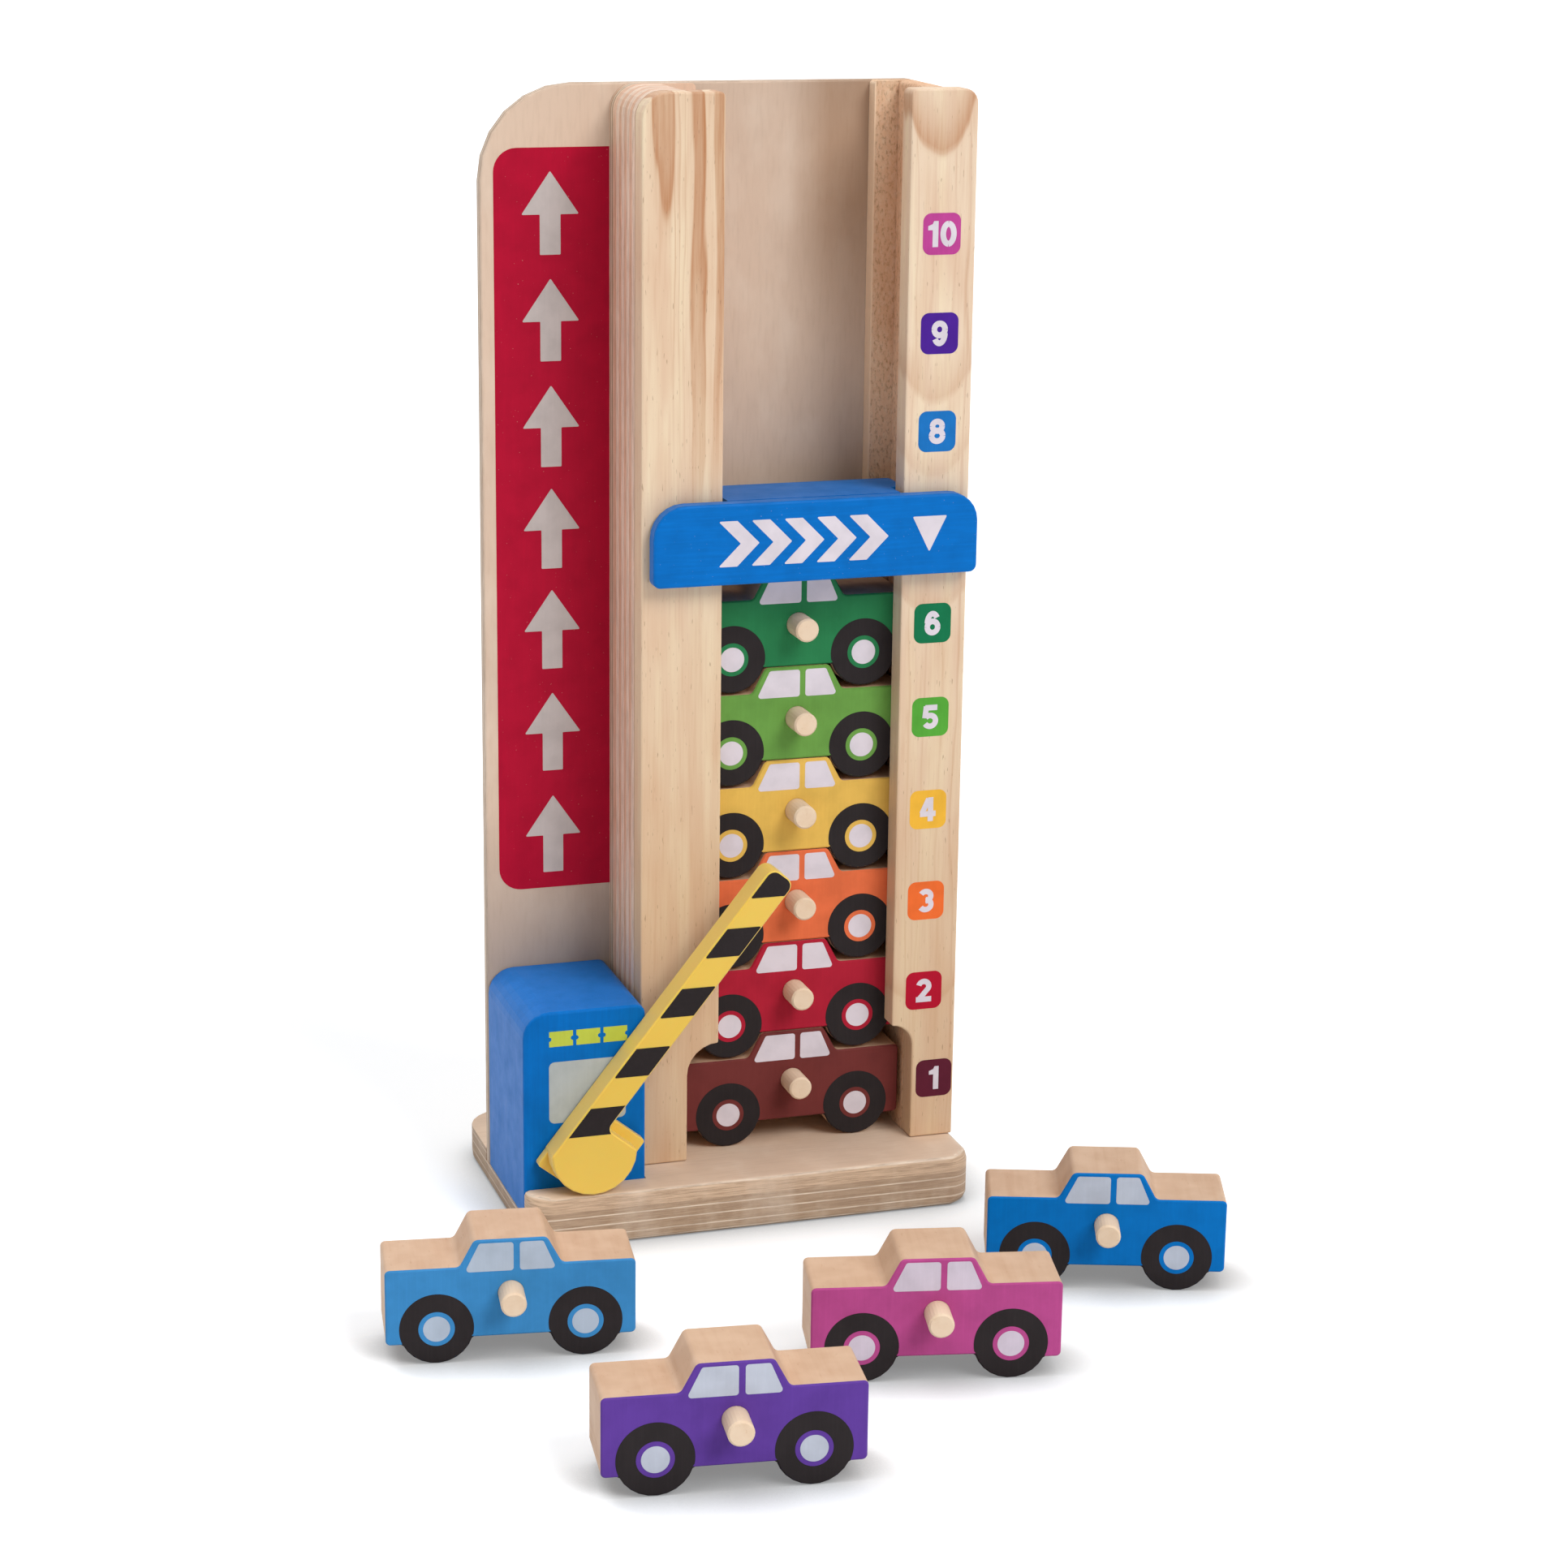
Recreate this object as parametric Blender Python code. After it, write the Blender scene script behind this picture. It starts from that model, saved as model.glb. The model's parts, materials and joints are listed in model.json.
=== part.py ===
"""Wooden toy parking garage with a stack of cars, a level marker, a ticket booth and a crossing gate.

Metres, +Z up, +X to the right and -Y to the front. The origin is the middle of the base board's underside.
Every size below is in millimetres.
"""

import math

import bmesh
import bpy
from mathutils import Matrix, Vector

MM = 0.001

# How many cars are stacked in the tower
STACKED = 6

# Car: one profile cut from a board, standing on its wheel arcs
CAR_LENGTH = 80.0
CAR_THICK = 25.5
CAR_HOOD_HEIGHT = 32.45
CAR_ROOF_HEIGHT = 41.45
CAR_BELLY_HEIGHT = 8.45
CAR_END_HEIGHT = 6.9
CAB_SLOPE = 62.0
CAR_CORNER_RADIUS = 1.6
CAB_CORNER_RADIUS = 2.2
WHEEL_RADIUS = 11.9
WHEEL_BASE = 47.6
CAR_EDGE = 0.5

# Peg: a dowel glued into the front of each car, used as a handle
PEG_RADIUS = 4.15
PEG_REACH = 10.4
PEG_DEPTH = 14.0
PEG_HEIGHT = 23.1
PEG_CHAMFER = 0.6

# Base board
BASE_THICK = 18.4
BASE_FRONT_MARGIN = 22.2
BASE_REAR_MARGIN = 37.5
BASE_FRONT_CORNER = 4.0
BASE_REAR_CORNER = 16.0
BASE_EDGE = 0.7
REAR_LEDGE_DROP = 6.0
POCKET_FLOOR = 7.7

# Tower: front stiles, spacers, back strips and the back panel, from front to back
TOWER_HEIGHT = 390.0
STILE_THICK = 9.0
STRIP_THICK = 5.8
PANEL_THICK = 5.2
LEFT_SPACER_WIDTH = 17.1
RIGHT_SPACER_WIDTH = 10.7
LEFT_STILE_LAP = 11.3
RIGHT_STILE_LAP = 7.65
RIGHT_STILE_REVEAL = 5.3
RIGHT_STRIP_LAP = 8.5
LEFT_TOP_RADIUS = 9.0
RIGHT_TOP_RADIUS = 5.0
SLOT_TOP_RADIUS = 2.0
NOTCH_HEADROOM = 1.5
PANEL_TOP_RADIUS = 32.0
PANEL_SIDE_RADIUS = 1.5
TOWER_EDGE = 0.6

# Ticket booth
BOOTH_WIDTH = 43.3
BOOTH_TOP = 82.3
BOOTH_FRONT_REACH = 11.1
BOOTH_LEFT_RADIUS = 9.0
BOOTH_RIGHT_RADIUS = 3.5
BOOTH_EDGE = 0.8

# Level marker: a plate in front of the stiles on a slider that runs behind them
MARKER_HEIGHT = 27.8
MARKER_PLATE_WIDTH = 115.3
MARKER_PLATE_THICK = 6.0
MARKER_PLATE_SHIFT = 1.85
MARKER_LEFT_RADIUS = 11.5
MARKER_RIGHT_RADIUS = 9.8
MARKER_FOOT_RADIUS = 2.6
MARKER_BLOCK_DEPTH = 17.2
MARKER_BLOCK_RADIUS = 3.5
MARKER_EDGE = 0.8

# Gate: a moulding with an open ribbed back, turning on a pin in the booth
GATE_ANGLE = 51.4
GATE_HUB_RADIUS = 15.1
GATE_THICK = 10.6
GATE_HUB_X = 22.3
GATE_FLAT_AHEAD = 9.2
GATE_NOOK_RADIUS = 2.5
ARM_WIDTH = 10.5
ARM_RISE = 1.4
ARM_LENGTH = 115.4
ARM_TIP_RADIUS = 3.5
STOP_THICK = 4.0
STOP_AHEAD = 12.5
STOP_CORNER = 1.2
STOP_STEP = 0.2
GATE_EDGE = 0.5
GATE_WALL = 1.6
GATE_SKIN = 2.0
GATE_RIB = 1.4
ARM_POCKETS = 7
HUB_POCKETS = 6
BOSS_WALL = 2.6
PIN_RADIUS = 3.0
PIN_IN_BOOTH = 14.0

# Base screws: countersunk, driven from below into the posts and the booth
SCREW_LENGTH = 30.0
SCREW_HEAD_RADIUS = 3.6
SCREW_RADIUS = 1.75
SCREW_COUNTERSINK = 1.9
SCREW_TIP = 4.0
SCREW_SUNK = 0.4
SCREW_RECESS_SPAN = 4.4
SCREW_RECESS_WIDTH = 1.1
SCREW_RECESS_DEPTH = 1.6
SCREW_SPREAD = 13.0
SCREW_SIDES = 16

# Clearances
GLUE_LINE = 0.15
REST_GAP = 0.3
FLOOR_GAP = 0.15
NEST_GAP = 0.65
CAR_SIDE_GAP = 1.7
CAR_FRONT_GAP = 0.5
CAR_BACK_GAP = 0.4
BOOTH_POST_GAP = 1.3
POCKET_GAP = 0.25
SLIDER_SIDE_GAP = 1.4
SLIDER_FACE_GAP = 0.4
MARKER_FACE_GAP = 0.5
GATE_FACE_GAP = 0.7
PIN_GAP = 0.08
PIN_END_GAP = 0.4
PEG_GAP = 0.1

# How far each stacked car sits to the right, as a share of the smaller of its side gap and its nesting gap
STACK_LEAN = (-0.1, 0.4, 0.9, 0.4, -0.15, 0.0)

# Where the front face of each loose car stands, across and ahead of the tower, and its turn in degrees
LOOSE_ACROSS = (-107.5, 96.8, -65.6, 17.6)
LOOSE_AHEAD = (-135.3, -136.4, -242.9, -187.9)
LOOSE_TURNS = (-8.3, -19.1, -7.1, -12.0)

# Widths across the tower, from the middle of the channel that the cars stand in
CHANNEL_HALF = CAR_LENGTH / 2 + CAR_SIDE_GAP
LEFT_HALF = CHANNEL_HALF + LEFT_SPACER_WIDTH + BOOTH_POST_GAP + BOOTH_WIDTH
RIGHT_HALF = CHANNEL_HALF + RIGHT_SPACER_WIDTH + RIGHT_STILE_REVEAL
CHANNEL_X = (LEFT_HALF - RIGHT_HALF) / 2
BASE_LEFT = CHANNEL_X - LEFT_HALF
BASE_RIGHT = CHANNEL_X + RIGHT_HALF
CHANNEL_LEFT = CHANNEL_X - CHANNEL_HALF
CHANNEL_RIGHT = CHANNEL_X + CHANNEL_HALF
SLOT_LEFT = CHANNEL_LEFT + LEFT_STILE_LAP
SLOT_RIGHT = CHANNEL_RIGHT - RIGHT_STILE_LAP
LEFT_POST_SIDE = CHANNEL_LEFT - LEFT_SPACER_WIDTH
RIGHT_CORE_SIDE = CHANNEL_RIGHT + RIGHT_SPACER_WIDTH
BOOTH_LEFT = BASE_LEFT
BOOTH_RIGHT = BASE_LEFT + BOOTH_WIDTH
HUB_X = BOOTH_LEFT + GATE_HUB_X

# Depths, from the front of the base board to its back
CHANNEL_DEPTH = CAR_FRONT_GAP + CAR_THICK + CAR_BACK_GAP
POST_DEPTH = STILE_THICK + CHANNEL_DEPTH + STRIP_THICK
BASE_DEPTH = BASE_FRONT_MARGIN + POST_DEPTH + GLUE_LINE + PANEL_THICK + BASE_REAR_MARGIN
STILE_FRONT = BASE_FRONT_MARGIN - BASE_DEPTH / 2
STILE_BACK = STILE_FRONT + STILE_THICK
STRIP_FRONT = STILE_BACK + CHANNEL_DEPTH
STRIP_BACK = STRIP_FRONT + STRIP_THICK
PANEL_FRONT = STRIP_BACK + GLUE_LINE
PANEL_BACK = PANEL_FRONT + PANEL_THICK
BOOTH_FRONT = STILE_FRONT - BOOTH_FRONT_REACH
CAR_FRONT = STILE_BACK + CAR_FRONT_GAP

# Heights
POST_FOOT = BASE_THICK + GLUE_LINE
POCKET_REST = POCKET_FLOOR + GLUE_LINE
# A stacked car stands with its belly on the roof below, or its wheels on the hoods where those come first
CAR_PITCH = max(CAR_ROOF_HEIGHT - CAR_BELLY_HEIGHT, CAR_HOOD_HEIGHT) + REST_GAP
STACK_FOOT = BASE_THICK + FLOOR_GAP
NOTCH_TOP = STACK_FOOT + CAR_ROOF_HEIGHT + NOTCH_HEADROOM
MARKER_FOOT = STACK_FOOT + (STACKED - 1) * CAR_PITCH + CAR_ROOF_HEIGHT + REST_GAP
STOP_REACH = GATE_HUB_RADIUS + STOP_STEP
HUB_HEIGHT = BASE_THICK + FLOOR_GAP + STOP_REACH

# Gate sizes that follow from the hub: the stop plate's flats meet the base board at both ends of the swing
ARM_TOP = ARM_RISE + ARM_WIDTH
GATE_BACK = BOOTH_FRONT - GATE_FACE_GAP
PIN_BORE_RADIUS = PIN_RADIUS + PIN_GAP
PIN_BORE_DEPTH = GATE_THICK - GATE_SKIN
BOSS_RADIUS = PIN_BORE_RADIUS + BOSS_WALL

# Base screws in plan, two under each post and two under the booth, with the piece each one holds
POST_MIDDLE = (STILE_BACK + STRIP_FRONT) / 2
SCREW_ROWS = {
    "left_spacer": ((LEFT_POST_SIDE + CHANNEL_LEFT) / 2, POST_MIDDLE),
    "right_spacer": ((CHANNEL_RIGHT + RIGHT_CORE_SIDE) / 2, POST_MIDDLE),
    "ticket_booth": ((BOOTH_LEFT + BOOTH_RIGHT) / 2, POST_MIDDLE),
}

OVERSHOOT = 2.0
SMOOTH_STEP = math.radians(15)
ROUND_SIDES = 32


def clear_scene():
    """Removes what the startup file holds."""
    for obj in list(bpy.data.objects):
        bpy.data.objects.remove(obj, do_unlink=True)


def srgb(code):
    """Linear colour of an sRGB hex code."""
    channels = (int(code[i : i + 2], 16) / 255 for i in (1, 3, 5))
    linear = [c / 12.92 if c <= 0.04045 else ((c + 0.055) / 1.055) ** 2.4 for c in channels]
    return (*linear, 1.0)


def material(name, code, roughness, metallic=0.0):
    """A plain Principled material."""
    made = bpy.data.materials.new(name)
    made.use_nodes = True
    shader = made.node_tree.nodes["Principled BSDF"]
    shader.inputs["Base Color"].default_value = srgb(code)
    shader.inputs["Roughness"].default_value = roughness
    shader.inputs["Metallic"].default_value = metallic
    made.diffuse_color = srgb(code)
    return made


def arc(centre, radius, start, end):
    """Points of an arc between two angles, in steps fine enough to look round."""
    steps = max(2, math.ceil(abs(end - start) / SMOOTH_STEP))
    angles = [start + (end - start) * i / steps for i in range(steps + 1)]
    return [(centre[0] + radius * math.cos(a), centre[1] + radius * math.sin(a)) for a in angles]


def corner(before, here, after, radius):
    """The rounded corner of a profile at one of its points."""
    point = Vector(here)
    towards_before = (Vector(before) - point).normalized()
    towards_after = (Vector(after) - point).normalized()
    half = towards_before.angle(towards_after) / 2
    reach = radius / math.tan(half)
    middle = point + (towards_before + towards_after).normalized() * (radius / math.sin(half))
    first = point + towards_before * reach - middle
    last = point + towards_after * reach - middle
    start = math.atan2(first.y, first.x)
    turn = (math.atan2(last.y, last.x) - start + math.pi) % (2 * math.pi) - math.pi
    return arc(middle, radius, start, start + turn)


def rounded(corners):
    """A closed outline from (a, b, radius) corners, each with its own radius, 0 for a sharp one."""
    outline = []
    for i, (a, b, radius) in enumerate(corners):
        if radius <= 0:
            outline.append((a, b))
            continue
        before = corners[i - 1][:2]
        after = corners[(i + 1) % len(corners)][:2]
        outline += corner(before, (a, b), after, radius)
    return outline


def box_outline(low_a, low_b, high_a, high_b, radius=0.0):
    """A rectangle with one corner radius."""
    ends = ((low_a, low_b), (high_a, low_b), (high_a, high_b), (low_a, high_b))
    return rounded([(a, b, radius) for a, b in ends])


def new_object(name, mesh, look=None):
    """Puts a mesh in the scene under its node's name."""
    obj = bpy.data.objects.new(name, mesh)
    bpy.context.scene.collection.objects.link(obj)
    if look:
        mesh.materials.append(look)
    return obj


def extrude(name, outline, low, high, look=None, along="Y"):
    """A solid from a closed outline: (x, z) points pushed along Y, or (x, y) points pushed along Z."""
    mesh = bpy.data.meshes.new(name)
    shape = bmesh.new()
    if along == "Y":
        points = [(a * MM, low * MM, b * MM) for a, b in outline]
        push = Vector((0, (high - low) * MM, 0))
    else:
        points = [(a * MM, b * MM, low * MM) for a, b in outline]
        push = Vector((0, 0, (high - low) * MM))
    face = shape.faces.new([shape.verts.new(p) for p in points])
    pushed = bmesh.ops.extrude_face_region(shape, geom=[face])["geom"]
    moved = [item for item in pushed if isinstance(item, bmesh.types.BMVert)]
    bmesh.ops.translate(shape, verts=moved, vec=push)
    bmesh.ops.recalc_face_normals(shape, faces=shape.faces)
    shape.to_mesh(mesh)
    shape.free()
    return new_object(name, mesh, look)


def soften(obj, width, segments=2):
    """Breaks the sharp edges, as sanding or a mould does."""
    bevel = obj.modifiers.new("Softened edges", "BEVEL")
    bevel.width = width * MM
    bevel.segments = segments
    bevel.limit_method = "ANGLE"
    bevel.angle_limit = math.radians(40)
    bevel.use_clamp_overlap = True


def combine(obj, other, operation="DIFFERENCE"):
    """Cuts another solid out of this one, or joins it on."""
    boolean = obj.modifiers.new(operation.title(), "BOOLEAN")
    boolean.operation = operation
    boolean.solver = "EXACT"
    boolean.object = other
    other.hide_render = True
    other.display_type = "WIRE"
    other.parent = obj


def place(obj, x, y, z):
    """Moves an object's origin to a point given in millimetres."""
    obj.location = (x * MM, y * MM, z * MM)


def revolve(name, profile, x, y, look=None):
    """A round solid from (radius, z) points that start and end on its axis."""
    mesh = bpy.data.meshes.new(name)
    shape = bmesh.new()
    points = [shape.verts.new((r * MM, 0, z * MM)) for r, z in profile]
    line = [shape.edges.new(pair) for pair in zip(points, points[1:])]
    bmesh.ops.spin(
        shape,
        geom=points + line,
        cent=(0, 0, 0),
        axis=(0, 0, 1),
        angle=2 * math.pi,
        steps=SCREW_SIDES,
        use_merge=True,
    )
    bmesh.ops.remove_doubles(shape, verts=shape.verts, dist=0.00001)
    bmesh.ops.recalc_face_normals(shape, faces=shape.faces)
    shape.to_mesh(mesh)
    shape.free()
    made = new_object(name, mesh, look)
    place(made, x, y, 0)
    return made


def screw_profile(gap):
    """A countersunk screw's half section, point up, grown by a gap for the hole it sits in."""
    head = SCREW_SUNK - (OVERSHOOT if gap else 0)
    neck = SCREW_SUNK + SCREW_COUNTERSINK
    tip = SCREW_SUNK + SCREW_LENGTH
    return [
        (0, head),
        (SCREW_HEAD_RADIUS + gap, head),
        (SCREW_HEAD_RADIUS + gap, SCREW_SUNK + gap),
        (SCREW_RADIUS + gap, neck + gap),
        (SCREW_RADIUS + gap, tip - SCREW_TIP + gap),
        (0, tip + gap),
    ]


def base_screws(board, metal):
    """The screws that hold the posts and the booth, with their holes in the board and in what they hold."""
    number = 0
    for holder, (x, middle) in SCREW_ROWS.items():
        held = bpy.data.objects[holder]
        for y in (middle - SCREW_SPREAD / 2, middle + SCREW_SPREAD / 2):
            number += 1
            screw = revolve(f"base_screw_{number}", screw_profile(0), x, y, metal)
            half, wide = SCREW_RECESS_SPAN / 2, SCREW_RECESS_WIDTH / 2
            cross = [(half, -wide), (half, wide), (wide, wide), (wide, half), (-wide, half), (-wide, wide)]
            cross += [(-a, -b) for a, b in cross]
            recess = extrude(f"cut_recess_{number}", cross, -OVERSHOOT, SCREW_RECESS_DEPTH, along="Z")
            combine(screw, recess)
            combine(board, revolve(f"cut_board_hole_{number}", screw_profile(GLUE_LINE), x, y))
            combine(held, revolve(f"cut_held_hole_{number}", screw_profile(GLUE_LINE), x, y))


def base_board(wood):
    """The board: a pocket for the booth, a groove for the panel, and a lower ledge behind."""
    front, back = -BASE_DEPTH / 2, BASE_DEPTH / 2
    plan = rounded(
        [
            (BASE_LEFT, front, BASE_FRONT_CORNER),
            (BASE_RIGHT, front, BASE_FRONT_CORNER),
            (BASE_RIGHT, back, BASE_REAR_CORNER),
            (BASE_LEFT, back, BASE_REAR_CORNER),
        ]
    )
    board = extrude("base_board", plan, 0, BASE_THICK, wood, along="Z")
    soften(board, BASE_EDGE)
    above = BASE_THICK + OVERSHOOT
    groove_back = PANEL_BACK + POCKET_GAP
    ledge = box_outline(BASE_LEFT - OVERSHOOT, groove_back, BASE_RIGHT + OVERSHOOT, back + OVERSHOOT)
    combine(board, extrude("cut_ledge", ledge, BASE_THICK - REAR_LEDGE_DROP, above, along="Z"))
    groove = box_outline(
        BASE_LEFT - OVERSHOOT, PANEL_FRONT - POCKET_GAP, RIGHT_CORE_SIDE + POCKET_GAP, groove_back
    )
    combine(board, extrude("cut_groove", groove, POCKET_FLOOR, above + OVERSHOOT, along="Z"))
    pocket = box_outline(
        BASE_LEFT - 2 * OVERSHOOT, BOOTH_FRONT - POCKET_GAP, BOOTH_RIGHT + POCKET_GAP, PANEL_FRONT
    )
    combine(board, extrude("cut_pocket", pocket, POCKET_FLOOR, above + 2 * OVERSHOOT, along="Z"))
    return board


def back_panel(wood):
    """The thin panel that carries the sign, standing in the groove."""
    outline = rounded(
        [
            (BASE_LEFT, POCKET_REST, 0),
            (RIGHT_CORE_SIDE, POCKET_REST, 0),
            (RIGHT_CORE_SIDE, TOWER_HEIGHT, RIGHT_TOP_RADIUS),
            (BASE_LEFT, TOWER_HEIGHT, PANEL_TOP_RADIUS),
        ]
    )
    panel = extrude("back_panel", outline, PANEL_FRONT, PANEL_BACK, wood)
    soften(panel, TOWER_EDGE)


def left_stile(wood):
    """The front upright on the booth's side, with the quarter-round notch that lets a car out."""
    turn = (SLOT_LEFT, NOTCH_TOP - LEFT_STILE_LAP)
    notch = arc(turn, LEFT_STILE_LAP, math.pi / 2, math.pi)
    outline = rounded(
        [
            (LEFT_POST_SIDE, POST_FOOT, 0),
            (LEFT_POST_SIDE, TOWER_HEIGHT, LEFT_TOP_RADIUS),
            (SLOT_LEFT, TOWER_HEIGHT, SLOT_TOP_RADIUS),
            *((x, z, 0) for x, z in notch),
            (CHANNEL_LEFT, POST_FOOT, 0),
        ]
    )
    soften(extrude("left_stile", outline, STILE_FRONT, STILE_BACK, wood), TOWER_EDGE)


def right_stile(wood):
    """The front upright that carries the level numbers."""
    turn = (SLOT_RIGHT, NOTCH_TOP - RIGHT_STILE_LAP)
    notch = arc(turn, RIGHT_STILE_LAP, 0, math.pi / 2)
    outline = rounded(
        [
            (CHANNEL_RIGHT, POST_FOOT, 0),
            *((x, z, 0) for x, z in notch),
            (SLOT_RIGHT, TOWER_HEIGHT, SLOT_TOP_RADIUS),
            (BASE_RIGHT, TOWER_HEIGHT, RIGHT_TOP_RADIUS),
            (BASE_RIGHT, POST_FOOT, 0),
        ]
    )
    soften(extrude("right_stile", outline, STILE_FRONT, STILE_BACK, wood), TOWER_EDGE)


def upright(name, left, right, front, back, radii, wood):
    """A plain upright behind a stile, as tall as the stile and with its own top corners."""
    outline = rounded(
        [
            (left, POST_FOOT, 0),
            (right, POST_FOOT, 0),
            (right, TOWER_HEIGHT, radii[1]),
            (left, TOWER_HEIGHT, radii[0]),
        ]
    )
    return extrude(name, outline, front, back, wood)


def tower_cores(core_wood, strip_wood):
    """The spacers that make the channel and the strips that keep the cars off the panel."""
    front, back = STILE_BACK + GLUE_LINE, STRIP_FRONT - GLUE_LINE
    left_radii = (LEFT_TOP_RADIUS, PANEL_SIDE_RADIUS)
    right_radii = (PANEL_SIDE_RADIUS, RIGHT_TOP_RADIUS)
    strip_right = CHANNEL_RIGHT - RIGHT_STRIP_LAP
    upright("left_spacer", LEFT_POST_SIDE, CHANNEL_LEFT, front, back, left_radii, core_wood)
    upright("right_spacer", CHANNEL_RIGHT, RIGHT_CORE_SIDE, front, back, right_radii, core_wood)
    upright("left_strip", LEFT_POST_SIDE, SLOT_LEFT, STRIP_FRONT, STRIP_BACK, left_radii, strip_wood)
    upright("right_strip", strip_right, RIGHT_CORE_SIDE, STRIP_FRONT, STRIP_BACK, right_radii, strip_wood)


def ticket_booth(paint):
    """The solid block that stands in the base board's pocket and holds the gate's pin."""
    outline = rounded(
        [
            (BOOTH_LEFT, POCKET_REST, 0),
            (BOOTH_RIGHT, POCKET_REST, 0),
            (BOOTH_RIGHT, BOOTH_TOP, BOOTH_RIGHT_RADIUS),
            (BOOTH_LEFT, BOOTH_TOP, BOOTH_LEFT_RADIUS),
        ]
    )
    booth = extrude("ticket_booth", outline, BOOTH_FRONT, PANEL_FRONT - GLUE_LINE, paint)
    soften(booth, BOOTH_EDGE)
    hole = arc((HUB_X, HUB_HEIGHT), PIN_RADIUS + GLUE_LINE, 0, 2 * math.pi)[:-1]
    depth = BOOTH_FRONT + PIN_IN_BOOTH + PIN_END_GAP
    combine(booth, extrude("cut_pin_hole", hole, BOOTH_FRONT - OVERSHOOT, depth))


def gate_pin(metal):
    """The pin in the booth that the gate turns on."""
    middle = (HUB_X, HUB_HEIGHT)
    front = GATE_BACK - PIN_BORE_DEPTH + PIN_END_GAP
    back = BOOTH_FRONT + PIN_IN_BOOTH
    pin = extrude("gate_pin", arc_full(middle, PIN_RADIUS), front, back, metal)
    soften(pin, PIN_END_GAP, 1)


def arc_full(middle, radius, sides=ROUND_SIDES):
    """A regular polygon that stands for a circle."""
    step = 2 * math.pi / sides
    return [
        (middle[0] + radius * math.cos(i * step), middle[1] + radius * math.sin(i * step))
        for i in range(sides)
    ]


def gate_outline():
    """The arm and the hub, whose round is cut flush with the arm's top and flat where it faces the arm."""
    start = math.pi - math.asin(ARM_TOP / GATE_HUB_RADIUS)
    end = 2 * math.pi - math.acos(GATE_FLAT_AHEAD / GATE_HUB_RADIUS)
    hub = arc((0, 0), GATE_HUB_RADIUS, start, end)
    return rounded(
        [
            (ARM_LENGTH, ARM_RISE, ARM_TIP_RADIUS),
            (ARM_LENGTH, ARM_TOP, ARM_TIP_RADIUS),
            *((e, n, 0) for e, n in hub),
            (GATE_FLAT_AHEAD, ARM_RISE, GATE_NOOK_RADIUS),
        ]
    )


def stop_outline():
    """The stop plate: two flats that meet the base board at the ends of the swing."""
    low = -STOP_REACH
    return rounded(
        [
            (low, -STOP_CORNER, 0),
            (-STOP_CORNER, low, 0),
            (STOP_AHEAD, low, STOP_CORNER),
            (STOP_AHEAD, ARM_TOP - STOP_STEP, STOP_CORNER),
            (low, ARM_TOP - STOP_STEP, STOP_CORNER),
        ]
    )


def arm_pockets(depth):
    """Cutters for the hollow back of the arm, left apart by its cross ribs."""
    start = GATE_HUB_RADIUS
    end = ARM_LENGTH - GATE_WALL
    pitch = (end - start + GATE_RIB) / ARM_POCKETS
    made = []
    for i in range(ARM_POCKETS):
        low = start + i * pitch
        pocket = box_outline(low, ARM_RISE + GATE_WALL, low + pitch - GATE_RIB, ARM_TOP - GATE_WALL, 1.0)
        made.append(extrude(f"cut_arm_{i + 1}", pocket, -depth, OVERSHOOT))
    return made


def hub_pockets(depth):
    """Cutters for the hollow back of the hub, left apart by its spokes."""
    outer = min(GATE_FLAT_AHEAD, ARM_TOP) - GATE_WALL
    share = 2 * math.pi / HUB_POCKETS
    made = []
    for i in range(HUB_POCKETS):
        outer_gap = GATE_RIB / 2 / outer
        inner_gap = GATE_RIB / 2 / BOSS_RADIUS
        far = arc((0, 0), outer, i * share + outer_gap, (i + 1) * share - outer_gap)
        near = arc((0, 0), BOSS_RADIUS, (i + 1) * share - inner_gap, i * share + inner_gap)
        made.append(extrude(f"cut_hub_{i + 1}", far + near, -depth, OVERSHOOT))
    return made


def gate_arm(plastic):
    """The gate: hub, offset arm and stop plate in one moulding, hollow behind, drawn level and then turned."""
    gate = extrude("gate_arm", gate_outline(), -GATE_THICK, 0, plastic)
    soften(gate, GATE_EDGE, 1)
    stop = extrude("add_stop", stop_outline(), -STOP_THICK, -STOP_STEP)
    soften(stop, GATE_EDGE / 2, 1)
    combine(gate, stop, "UNION")
    hollow = GATE_THICK - GATE_SKIN
    for cutter in arm_pockets(hollow) + hub_pockets(hollow):
        combine(gate, cutter)
    bore = arc_full((0, 0), PIN_BORE_RADIUS)
    combine(gate, extrude("cut_bore", bore, -PIN_BORE_DEPTH, OVERSHOOT))
    place(gate, HUB_X, GATE_BACK, HUB_HEIGHT)
    gate.rotation_euler = (0, -math.radians(GATE_ANGLE), 0)


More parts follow.
